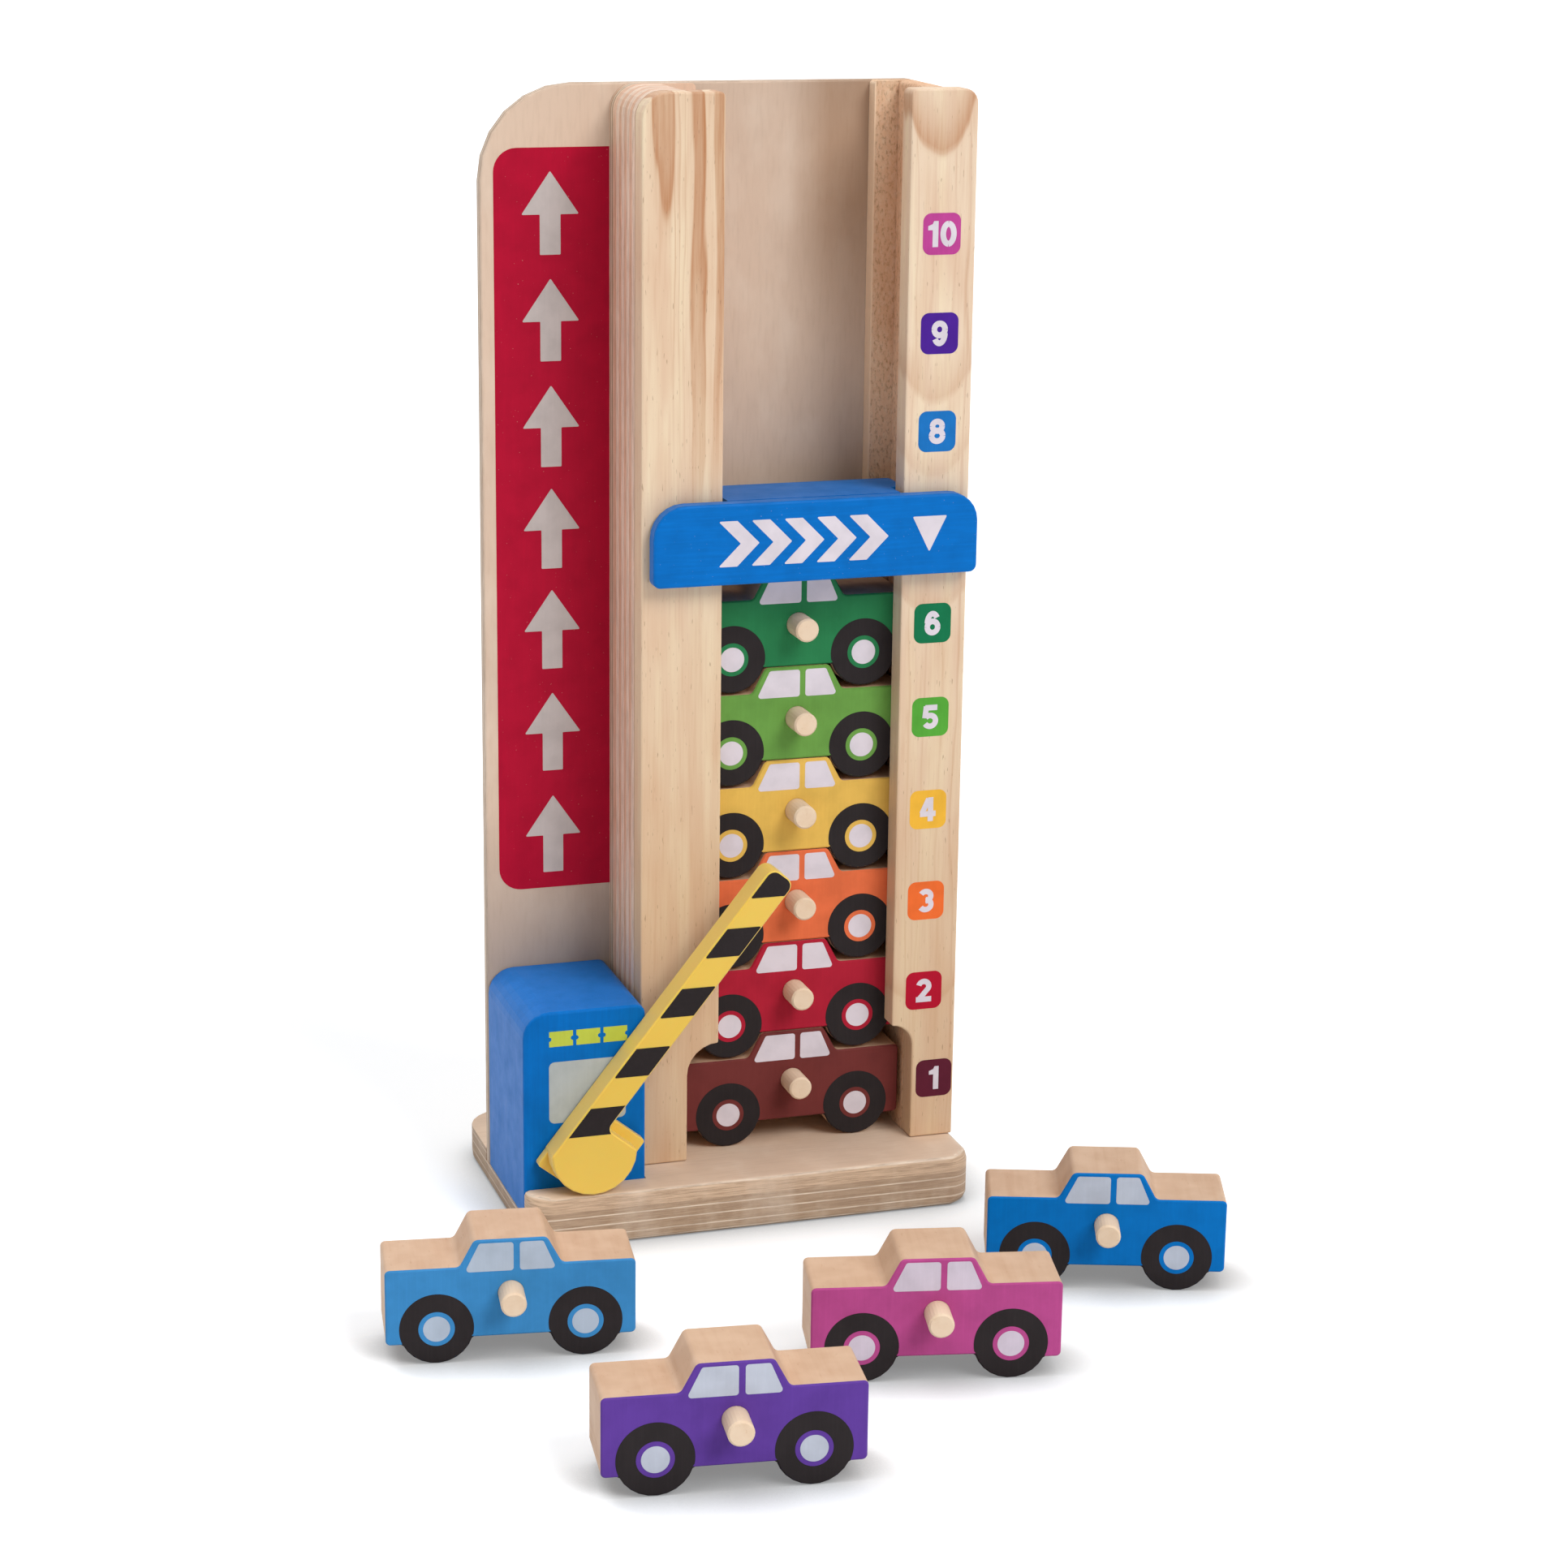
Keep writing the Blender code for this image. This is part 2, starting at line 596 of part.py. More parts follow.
def level_marker(paint):
    """The marker: a slider with a neck through the slot, and the plate glued on its front."""
    left = CHANNEL_LEFT + SLIDER_SIDE_GAP
    right = CHANNEL_RIGHT - SLIDER_SIDE_GAP
    block_front = STILE_BACK + SLIDER_FACE_GAP
    block = box_outline(left, 0, right, MARKER_HEIGHT, MARKER_BLOCK_RADIUS)
    slider = extrude("marker_slider", block, block_front, block_front + MARKER_BLOCK_DEPTH, paint)
    soften(slider, MARKER_EDGE)
    neck_front = STILE_FRONT - MARKER_FACE_GAP
    neck = box_outline(SLOT_LEFT + SLIDER_SIDE_GAP, 0, SLOT_RIGHT - SLIDER_SIDE_GAP, MARKER_HEIGHT)
    combine(slider, extrude("add_neck", neck, neck_front, block_front + MARKER_BLOCK_DEPTH / 2), "UNION")
    place(slider, 0, 0, MARKER_FOOT)
    middle = (LEFT_POST_SIDE + BASE_RIGHT) / 2 + MARKER_PLATE_SHIFT
    half = MARKER_PLATE_WIDTH / 2
    outline = rounded(
        [
            (middle - half, 0, MARKER_FOOT_RADIUS),
            (middle + half, 0, MARKER_FOOT_RADIUS),
            (middle + half, MARKER_HEIGHT, MARKER_RIGHT_RADIUS),
            (middle - half, MARKER_HEIGHT, MARKER_LEFT_RADIUS),
        ]
    )
    plate_back = neck_front - GLUE_LINE
    plate = extrude("marker_plate", outline, plate_back - MARKER_PLATE_THICK, plate_back, paint)
    soften(plate, MARKER_EDGE)
    plate.parent = slider


def wheel_arc(middle, right, left):
    """The part of a wheel below the body, from right to left, given the body's height on each side."""
    start = -math.asin((WHEEL_RADIUS - right) / WHEEL_RADIUS)
    end = math.asin((WHEEL_RADIUS - left) / WHEEL_RADIUS) - math.pi
    return arc((middle, WHEEL_RADIUS), WHEEL_RADIUS, start, end)


def cab_half(height):
    """Half the cab's width at a height: its slope keeps the nesting gap from the wheel of the car above."""
    slope = math.radians(CAB_SLOPE)
    wheel = CAR_PITCH + WHEEL_RADIUS
    clear = WHEEL_RADIUS + NEST_GAP
    return WHEEL_BASE / 2 - (clear + (height - wheel) * math.cos(slope)) / math.sin(slope)


def car_outline():
    """The car from the front: two hoods of one height, a cab, a raised belly and two wheel arcs."""
    half = CAR_LENGTH / 2
    at_hood, at_roof = cab_half(CAR_HOOD_HEIGHT), cab_half(CAR_ROOF_HEIGHT)
    body = CAR_CORNER_RADIUS
    cab = CAB_CORNER_RADIUS
    right_wheel = wheel_arc(WHEEL_BASE / 2, CAR_END_HEIGHT, CAR_BELLY_HEIGHT)
    left_wheel = wheel_arc(-WHEEL_BASE / 2, CAR_BELLY_HEIGHT, CAR_END_HEIGHT)
    return rounded(
        [
            (-half, CAR_END_HEIGHT, body),
            (-half, CAR_HOOD_HEIGHT, body),
            (-at_hood, CAR_HOOD_HEIGHT, cab),
            (-at_roof, CAR_ROOF_HEIGHT, cab),
            (at_roof, CAR_ROOF_HEIGHT, cab),
            (at_hood, CAR_HOOD_HEIGHT, cab),
            (half, CAR_HOOD_HEIGHT, body),
            (half, CAR_END_HEIGHT, body),
            *((x, z, 0) for x, z in right_wheel),
            *((x, z, 0) for x, z in left_wheel),
        ]
    )


def car(name, paint, peg_wood):
    """One car, drawn round the middle of its front face's foot, and its peg."""
    body = extrude(name, car_outline(), 0, CAR_THICK, paint)
    soften(body, CAR_EDGE, 1)
    hole = arc_full((0, PEG_HEIGHT), PEG_RADIUS + PEG_GAP, 24)
    combine(body, extrude(f"cut_{name}", hole, -OVERSHOOT, PEG_DEPTH + PEG_GAP))
    dowel = arc_full((0, PEG_HEIGHT), PEG_RADIUS, 24)
    peg = extrude(f"{name}_peg", dowel, -PEG_REACH, PEG_DEPTH, peg_wood)
    soften(peg, PEG_CHAMFER, 1)
    peg.parent = body
    return body


def cars(paints, peg_wood):
    """The stack in the tower, and the loose cars in front of it."""
    for i in range(STACKED):
        body = car(f"car_{i + 1:02d}", paints[i], peg_wood)
        lean = STACK_LEAN[i] * min(CAR_SIDE_GAP, NEST_GAP)
        place(body, CHANNEL_X + lean, CAR_FRONT, STACK_FOOT + i * CAR_PITCH)
    for i, (x, y, turn) in enumerate(zip(LOOSE_ACROSS, LOOSE_AHEAD, LOOSE_TURNS), STACKED):
        body = car(f"car_{i + 1:02d}", paints[i], peg_wood)
        place(body, x, y, 0)
        body.rotation_euler = (0, 0, math.radians(turn))


def main():
    """Builds the whole set."""
    clear_scene()
    ply = material("birch_plywood", "#D9B48F", 0.55)
    core = material("pine_core", "#C99B72", 0.6)
    dowel = material("beech_dowel", "#E6C9A0", 0.5)
    blue = material("blue_paint", "#0067BE", 0.35)
    yellow = material("yellow_plastic", "#F0C04A", 0.3)
    steel = material("zinc_plated_steel", "#B8BCC0", 0.35, 1.0)
    codes = (
        ("maroon_paint", "#6B2C31"),
        ("red_paint", "#B01E34"),
        ("orange_paint", "#E2622F"),
        ("amber_paint", "#E5AE3C"),
        ("leaf_green_paint", "#72A545"),
        ("dark_green_paint", "#2E7F51"),
        ("sky_blue_paint", "#3A84C2"),
        ("royal_blue_paint", "#0A5BAE"),
        ("purple_paint", "#6C4C98"),
        ("magenta_paint", "#B0497F"),
    )
    paints = [material(name, code, 0.4) for name, code in codes]
    board = base_board(ply)
    back_panel(ply)
    left_stile(ply)
    right_stile(ply)
    tower_cores(core, ply)
    ticket_booth(blue)
    base_screws(board, steel)
    gate_pin(steel)
    gate_arm(yellow)
    level_marker(blue)
    cars(paints, dowel)


main()
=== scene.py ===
"""The looks of a wooden toy parking garage, laid out as a Blender add-on round its packed solids.

Metres, +Z up, +X to the right and -Y to the front. Bare lengths are in millimetres, and MM makes them metres.
"""

import json
import math

import bpy
import numpy as np
from mathutils import Matrix, Vector


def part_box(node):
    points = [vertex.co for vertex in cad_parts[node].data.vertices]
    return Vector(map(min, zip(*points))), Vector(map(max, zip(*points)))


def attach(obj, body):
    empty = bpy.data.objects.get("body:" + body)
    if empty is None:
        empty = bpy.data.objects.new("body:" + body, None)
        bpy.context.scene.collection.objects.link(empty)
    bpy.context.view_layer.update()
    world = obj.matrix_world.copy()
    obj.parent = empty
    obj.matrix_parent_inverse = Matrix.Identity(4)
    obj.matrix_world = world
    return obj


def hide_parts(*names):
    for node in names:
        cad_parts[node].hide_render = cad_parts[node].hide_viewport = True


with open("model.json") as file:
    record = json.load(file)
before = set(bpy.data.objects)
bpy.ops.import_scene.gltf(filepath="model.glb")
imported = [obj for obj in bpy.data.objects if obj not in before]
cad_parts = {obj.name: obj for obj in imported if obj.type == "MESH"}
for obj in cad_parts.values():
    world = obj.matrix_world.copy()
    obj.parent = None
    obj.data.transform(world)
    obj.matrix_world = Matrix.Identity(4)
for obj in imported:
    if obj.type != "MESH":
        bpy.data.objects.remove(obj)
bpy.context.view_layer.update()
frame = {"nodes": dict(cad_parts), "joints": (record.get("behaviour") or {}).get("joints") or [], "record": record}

bl_info = {
    "name": "Toy parking garage",
    "version": (1, 0, 0),
    "blender": (4, 5, 0),
    "location": "View3D > Sidebar > Parking garage",
    "description": "Finishes, printed fronts and studio for a wooden toy parking garage with ten cars",
    "category": "Object",
}

MM = 0.001
NODES = frame["nodes"]
BODY_OF = {node: body for body, nodes in frame["record"]["behaviour"]["bodies"].items() for node in nodes}
CARS = sorted(node for node in NODES if node.startswith("car_") and not node.endswith("_peg"))
UP = np.array((0.0, 0.0, 1.0))
FRONT = np.array((0.0, -1.0, 0.0))

# A coat of paint, drawn thicker than a real one so that it stands clear of the wood
COAT = 0.05
ARC_STEPS = 8
CIRCLE_STEPS = 64
# Points of a solid this close are one
WELD = 0.001
# How far behind the front plane the front's broken edges reach
EDGE = 0.52
# Least cosine between straight ahead and the normal of a front face
FORWARD = 0.8
# Rounding of the corners of small printed shapes, and the steps of its arcs
NICK = (0.3, 3)
# Width of a figure's strokes, where the figure is two units high
PEN = 0.46
# Where nearly all of a noise lies
NOISE_LOW, NOISE_HIGH = 0.3, 0.7

PAINTS = {
    "maroon_paint": "#733634",
    "red_paint": "#AE2237",
    "orange_paint": "#E47046",
    "amber_paint": "#E3B758",
    "leaf_green_paint": "#6B9D49",
    "dark_green_paint": "#2B7C4C",
    "sky_blue_paint": "#3D88C2",
    "royal_blue_paint": "#0470BE",
    "purple_paint": "#603D98",
    "magenta_paint": "#B64B8A",
}
# Window and hub ink of the loose cars, less warm than that of the stacked ones
LOOSE_INKS = {"car_07": "#B1BDCD", "car_08": "#BCC3D1", "car_09": "#BEC3D0", "car_10": "#D2C6D4"}
BADGE_PAINTS = ("#5E2233", "#B51630", "#EE6E33", "#F0B63E", "#57A63C", "#17734A", "#3F8FCF", "#1E73BE",
                "#4B2390", "#BC4592")
# Marks of the stiles as planed_pine takes them: name, pith, rings, lines and fade
LEFT_PINE = (
    "Pine, planed, bold tongues",
    (-29, 386, 0.11),
    ((0, 0.6), (2.4, 0.65), (3.7, 0.9), (4.3, 0.15), (5.2, 0), (60, 0)),
    ((0, 0), (10.2, 0), (10.8, 0.4), (11.2, 0), (12.4, 0.05), (12.9, 0.4), (13.3, 0), (14.4, 0.1),
     (14.8, 0.35), (15.2, 0), (16.6, 0.05), (17.3, 0.85), (18.6, 0.65), (20, 0.75), (21.4, 1),
     (22, 0.1), (24.4, 0), (25.3, 0.65), (26.6, 0.75), (27.6, 0.9), (28.4, 0.3)),
    (240, 335, 0.12),
)
RIGHT_PINE = (
    "Pine, planed, quiet arcs",
    (68, 540, 0.16),
    ((0, 0), (14.2, 0), (15.2, 0.3), (15.5, 0), (24.4, 0.05), (26, 0.4), (27.3, 0.75), (27.7, 0),
     (38.4, 0), (40.6, 0.35), (41, 0), (43.4, 0), (44.7, 0.25), (45.1, 0), (51.2, 0),
     (52.4, 0.35), (52.7, 0), (60, 0)),
    ((0, 0), (3, 0), (3.5, 0.25), (3.9, 0), (8, 0), (8.7, 0.2), (9.2, 0), (15, 0),
     (15.7, 0.2), (16.4, 0), (20.4, 0), (21.5, 0.35), (22, 0), (23.6, 0)),
    (20, 200, 0.6),
)
# Plies of the thick board, the thin sheets, and each sheet of the left spacer
BASE_PLIES = (
    (0, 0.045, "cross"), (0.052, 0.068, "light"), (0.075, 0.19, "cross"), (0.197, 0.213, "light"),
    (0.22, 0.378, "cross"), (0.385, 0.401, "light"), (0.408, 0.566, "cross"), (0.573, 0.589, "light"),
    (0.596, 0.69, "cross"), (0.71, 0.733, "long"), (0.738, "cross"), (0.743, 0.848, "long"),
    (0.853, "cross"), (0.858, 0.955, "long"), (0.97, 1, "light"),
)
THIN_PLIES = (
    (0, 0.2, "veneer"), (0.24, 0.42, "cross"), (0.46, 0.6, "light"), (0.64, 0.8, "cross"),
    (0.84, 1, "veneer"),
)
SPACER_SHEETS, SPACER_PLIES = 4, ((0.05, 0.5, "light"), (0.58, 0.95, "cross"))
# The front of the back panel, and its painted shade: darker lower down, towards the right, and a painted
# shadow of the right stile in the channel
PANEL_FRONT = ("Y", 13, 12)
PANEL_PAINTED_SHADE = (
    ((PANEL_FRONT, ("Z", 140, 85)), "#7F746F", 0.5),
    ((PANEL_FRONT, ("X", 5, 60)), "#7F746F", 0.25),
    ((PANEL_FRONT, ("X", 27, 42), ("Z", 296, 348)), "#8D5F30", 0.5),
)


def linear(code):
    """Linear colour of an sRGB hex code."""
    channels = (int(code[i : i + 2], 16) / 255 for i in (1, 3, 5))
    return (*(c / 12.92 if c <= 0.04045 else ((c + 0.055) / 1.055) ** 2.4 for c in channels), 1.0)


def colour(label, code, words):
    """A colour property with its default from an sRGB hex code."""
    return bpy.props.FloatVectorProperty(
        name=label, description=words, default=linear(code), size=4, min=0, max=1, subtype="COLOR"
    )


def length(label, size, words):
    """A length property with its default in millimetres, kept in metres."""
    return number(label, size * MM, words, min=0, unit="LENGTH", precision=5)


def number(label, value, words, **limits):
    """A plain number property."""
    return bpy.props.FloatProperty(name=label, description=words, default=value, **limits)


class StudioSettings(bpy.types.PropertyGroup):
    """The camera and the lamps."""

    eye: bpy.props.FloatVectorProperty(
        name="Eye", description="Where the camera stands", unit="LENGTH", default=(-0.34907, -1.1589, 0.48376)
    )
    heading: number("Heading", math.radians(17.902), "Turn to the right from straight ahead", unit="ROTATION")
    dip: number("Dip", math.radians(15.542), "Tilt below level", unit="ROTATION")
    roll: number("Roll", 0.013, "Turn about the line of sight", unit="ROTATION")
    lens: number("Lens", 81.75, "Focal length for a 36 mm wide picture", unit="CAMERA", min=1)
    sky: number("Sky", 0.38, "Strength of the even light from all round", min=0)
    key: number("Key", 1.75, "Strength of the soft light from the front right", min=0)
    top: number("Top", 0.95, "Strength of the broad soft light from above", min=0)
    rim: number("Rim", 0.65, "Strength of the light from behind on the left", min=0)


class WoodColours(bpy.types.PropertyGroup):
    """The bare woods."""

    pine: colour("Pine", "#E3C7A9", "Pale early wood of the stiles")
    pine_ring: colour("Pine ring", "#B4784C", "Brown late wood of the stiles")
    birch: colour("Birch", "#E0C6AE", "Face veneer of the plywood")
    birch_dark: colour("Birch core", "#B3987E", "Cross plies of the plywood")
    birch_long: colour("Birch long ply", "#D4B699", "Thick long plies in the base board's edge")
    birch_light: colour("Birch ply", "#E9D6C1", "Thin pale plies in the plywood's edge")
    sawn: colour("Sawn pine", "#EDC7A5", "Rough sides of the channel")
    lime: colour("Limewood", "#C9A78B", "Bare wood of the cars")
    lime_dark: colour("Limewood streak", "#B4886A", "Streaks and flecks of the cars' wood")
    dowel: colour("Dowel", "#E4CAAE", "Turned pegs")


class PaintColours(bpy.types.PropertyGroup):
    """Paint, print and plastic."""

    blue: colour("Blue", "#006BBE", "Booth and level marker")
    red: colour("Sign red", "#B0042E", "The sign's ground")
    pale: colour("Pale ink", "#C4BAB7", "Shapes on the sign")
    white: colour("White ink", "#DDD4DC", "Windows, hubs and numerals")
    pane: colour("Window grey", "#B4BBBC", "The booth's window")
    lime: colour("Lime ink", "#BFCB4E", "Small shapes above the booth's window")
    black: colour("Black ink", "#2E292A", "Wheels and the gate's stripes")
    yellow: colour("Yellow plastic", "#EBC550", "The crossing gate")
    zinc: colour("Zinc", "#B8BCC0", "Pin and screws")


class PrintSizes(bpy.types.PropertyGroup):
    """Sizes of the printed shapes, and of the rounding of the base board."""

    wheel: length("Wheel", 11.9, "Radius of a printed tyre")
    wheel_base: length("Wheel base", 47.6, "Distance between the two wheels")
    ring: length("Ring", 5.8, "Radius of the painted ring in a wheel")
    hub: length("Hub", 4.3, "Radius of the pale hub")
    badge: length("Badge", 13.5, "Width of a level badge")
    badge_pitch: length("Badge pitch", 33.5, "Rise from one level badge to the next")
    first_badge: length("First badge", 40.5, "Height of the middle of badge 1")
    numeral: length("Numeral", 8.7, "Height of a level number")
    stripe_pitch: length("Stripe pitch", 20.1, "Rise from one stripe of the gate to the next")
    stripe: length("Stripe", 9.9, "Height of a stripe")
    gate_angle: number("Gate angle", math.radians(51.4), "The arm's angle above level", unit="ROTATION")
    corner: length("Base corner", 8, "Radius of the base board's front corners")
    edge: length("Base edge", 1.7, "Radius of the base board's upper and lower edges")
    corner_edge: length("Base corner edge", 3.5, "Radius of those edges in the middle of a corner")


def add(tree, kind, inputs=None, stops=(), **settings):
    """Adds a shader node of a kind, with its settings and links.

    Inputs are values, hex colours, sockets or nodes, by socket name or number, and a node stands for its
    first live output. Stops are the places and colours of a colour ramp, in rising order.
    """
    node = tree.nodes.new(f"ShaderNode{kind}")
    for name, value in settings.items():
        setattr(node, name, value)
    for key, value in (inputs or {}).items():
        if isinstance(value, str):
            value = linear(value)
        if isinstance(value, bpy.types.Node):
            value = next(output for output in value.outputs if output.enabled)
        if isinstance(value, bpy.types.NodeSocket):
            tree.links.new(value, node.inputs[key])
        else:
            node.inputs[key].default_value = value
    for i, (position, shade) in enumerate(stops):
        points = node.color_ramp.elements
        point = points[i] if i < len(points) else points.new(position)
        point.position = position
        point.color = linear(shade) if isinstance(shade, str) else shade
    return node


def empty_tree(owner):
    """Empties the node tree of a material or a world, and returns it."""
    owner.use_nodes = True
    owner.node_tree.nodes.clear()
    return owner.node_tree


def spots(tree, size, stretch=(1, 1, 1), detail=3, rough=0.55, shift=(0, 0, 0), turn=0):
    """A noise on the piece's own coordinates, in spots about a size in millimetres across.

    The spots are turned about the vertical, and then drawn out along an axis whose stretch is below one.
    """
    own = add(tree, "TexCoord").outputs["Object"]
    turned = add(tree, "Mapping", {"Vector": own, "Location": shift, "Rotation": (0, 0, turn)})
    drawn = add(tree, "Mapping", {"Vector": turned, "Scale": stretch})
    inputs = {"Vector": drawn, "Scale": 1 / (size * MM), "Detail": detail, "Roughness": rough}
    return add(tree, "TexNoise", inputs)


def stain(tree, shade, *tints):
    """Lays tints over a shade in turn, each where its pattern rises from low to high.

    Each is its colour, its pattern, low, high, and the share that it covers where the pattern is high.
    """
    for tint, pattern, low, high, most in tints:
        inputs = {"Value": pattern, "From Min": low, "From Max": high, "To Max": most}
        share = add(tree, "MapRange", inputs)
        shade = add(tree, "Mix", {0: share, 6: shade, 7: tint}, data_type="RGBA")
    return shade


def finish(name, build, rough, depth, gloss=0.3, **sockets):
    """A material round a function that adds its pattern and returns its colour, its sheen and its height.

    The roughness runs between two values as the sheen's pattern rises, and the height is in shares of the
    depth, in millimetres.
    """
    made = bpy.data.materials.new(name)
    tree = empty_tree(made)
    shade, sheen, height = build(tree)
    low, high = rough
    inputs = {"Value": sheen, "From Min": NOISE_LOW, "From Max": NOISE_HIGH, "To Min": low, "To Max": high}
    sheen = add(tree, "MapRange", inputs)
    bump = add(tree, "Bump", {"Height": height, "Distance": depth * MM})
    inputs = {"Base Color": shade, "Roughness": sheen, "Normal": bump, "Specular IOR Level": gloss}
    shader = add(tree, "BsdfPrincipled", {**inputs, **sockets})
    add(tree, "OutputMaterial", {"Surface": shader})
    return made


def planed_pine(name, pale, ring, node, pith, rings, lines, fade):
    """Planed pine with clear lacquer: brown late wood in tongues and long lines, and dark resin canals.

    A tongue is the distance from a pith that leans towards the face as it rises, so rings close in points
    below. The pith is its place across, the height where it meets the face, and its lean. Rings are
    (distance, brownness) and repeat after their reach, and lines are (place from the left edge, brownness).
    The fade is the heights where the lines are faint and full, and how faint. The foot is browner.
    """
    low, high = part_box(node)
    width = (high.x - low.x) / MM
    across, top, lean = pith
    faint, full, least = fade
    reach, sway = 60, 3.6
    rings = [(at / reach, (brown, brown, brown, 1)) for at, brown in rings]
    lines = [(at / width, (brown, brown, brown, 1)) for at, brown in lines]

    def build(tree):
        own = add(tree, "TexCoord").outputs["Object"]
        wander = spots(tree, 8, (1, 1, 0.1), 2)
        aside = add(tree, "MapRange", {"Value": wander, "To Min": -sway * MM, "To Max": sway * MM})
        push = add(tree, "CombineXYZ", {"X": aside})
        swayed = add(tree, "VectorMath", {0: own, 1: push}, operation="ADD")
        inputs = {"Vector": swayed, "Scale": (1, 0, lean), "Location": (-across * MM, 0, -top * lean * MM)}
        slant = add(tree, "Mapping", inputs)
        radius = add(tree, "VectorMath", {0: slant}, operation="LENGTH")
        turns = add(tree, "Math", {0: radius, 1: 1 / (reach * MM)}, operation="MULTIPLY")
        share = add(tree, "Math", {0: turns}, operation="FRACT")
        tongues = add(tree, "ValToRGB", {0: share}, rings)
        place = add(tree, "SeparateXYZ", {0: swayed}).outputs
        share = add(tree, "MapRange", {"Value": place["X"], "From Min": low.x, "From Max": high.x})
        streaks = add(tree, "ValToRGB", {0: share}, lines)
        inputs = {"Value": place["Z"], "From Min": faint * MM, "From Max": full * MM, "To Min": least}
        strength = add(tree, "MapRange", inputs)
        streaks = add(tree, "Math", {0: streaks, 1: strength}, operation="MULTIPLY")
        late = add(tree, "Math", {0: tongues, 1: streaks}, operation="MAXIMUM")
        fine = spots(tree, 0.6, (1, 1, 0.03), 4, 0.6)
        worn = add(tree, "MapRange", {"Value": fine, "From Min": 0.3, "From Max": 0.6, "To Min": 0.75})
        late = add(tree, "Math", {0: late, 1: worn}, operation="MULTIPLY")
        cream = spots(tree, 6, (1, 1, 0.06), 2, shift=(0.2, 0, 0))
        warm = spots(tree, 11, (1, 1, 0.25), 2)
        canals = spots(tree, 0.5, (1, 1, 0.13), 1)
        canals = add(tree, "MapRange", {"Value": canals, "From Min": 0.7, "From Max": 0.76})
        shade = stain(
            tree, pale,
            ("#EFDDBC", cream, 0.45, 0.65, 0.6),
            ("#D2A585", warm, 0.45, 0.7, 0.35),
            ("#BF905C", place["Z"], 240 * MM, 110 * MM, 0.35),
            (ring, late, 0, 1, 1),
            (ring, fine, 0.48, 0.75, 0.18),
            ("#8A6242", canals, 0, 1, 0.5),
        )
        return shade, fine, add(tree, "Math", {0: fine, 1: canals}, operation="SUBTRACT")

    return finish(name, build, (0.42, 0.55), 0.03)


def plywood(name, kinds, plies, node, axis, sway, painted_shade=()):
    """Sanded birch plywood: a quiet face veneer, and edges of brown end grain between thin pale plies.

    The kinds are colours by name: those of the plies, and the veneer. A ply is where it starts and ends, in
    shares of the solid's thickness along the axis, and its kind. The plies sway a little. A surface that
    looks along the axis is a sheet's own face, so it shows no ply. Painted shade darkens the veneer where it
    lies in shade: (ranges, tint, share), where the share is multiplied by each range, (axis, where it
    starts, where it is full).
    """
    low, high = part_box(node)
    stops = [(at, kinds[kind]) for *ends, kind in plies for at in ends]
    along = [0.05, 0.05, 0.05]
    along[axis] = 1

    def build(tree):
        own = add(tree, "TexCoord").outputs["Object"]
        place = add(tree, "SeparateXYZ", {0: own}).outputs
        inputs = {"Value": spots(tree, 30, detail=2), "To Min": -sway * MM, "To Max": sway * MM}
        wave = add(tree, "MapRange", inputs)
        depth = add(tree, "Math", {0: place[axis], 1: wave}, operation="ADD")
        share = add(tree, "MapRange", {"Value": depth, "From Min": low[axis], "From Max": high[axis]})
        layers = add(tree, "ValToRGB", {0: share}, stops)
        normal = add(tree, "NewGeometry").outputs["Normal"]
        facing = add(tree, "SeparateXYZ", {0: normal}).outputs[axis]
        facing = add(tree, "Math", {0: facing}, operation="ABSOLUTE")
        inputs = {"Value": facing, "From Min": 0.85, "From Max": 0.97, "To Min": 1, "To Max": 0}
        edge = add(tree, "MapRange", inputs)
        pores = spots(tree, 0.5, along, 4, 0.7)
        pores = add(tree, "MapRange", {"Value": pores, "From Min": 0.42, "From Max": 0.66})
        pores = add(tree, "Math", {0: pores, 1: edge}, operation="MULTIPLY")
        fine = spots(tree, 1.3, (0.08, 1, 1) if axis == 2 else (1, 1, 0.12), 4, 0.6)
        clouds = spots(tree, 20, (0.7, 0.7, 0.4), 4)
        pale = spots(tree, 12, (0.9, 0.9, 0.5), shift=(0.3, 0.1, 0.2))
        shade = stain(
            tree, kinds["veneer"],
            (layers, edge, 0, 1, 1),
            ("#86684F", pores, 0, 1, 0.55),
            (kinds["cross"], fine, 0.48, 0.75, 0.2),
            ("#B39A88", clouds, 0.42, 0.7, 0.25),
            ("#F0DFCC", pale, 0.5, 0.72, 0.25),
        )
        # Painted shade: darker tints laid over the veneer where it lies in shade
        for ranges, tint, share in painted_shade:
            for way, start, full in ranges:
                inputs = {"Value": place[way], "From Min": start * MM, "From Max": full * MM, "To Max": share}
                share = add(tree, "MapRange", inputs)
            shade = stain(tree, shade, (tint, share, 0, 1, 1))
        return shade, fine, add(tree, "Math", {0: fine, 1: pores}, operation="SUBTRACT")

    return finish(name, build, (0.45, 0.6), 0.05)


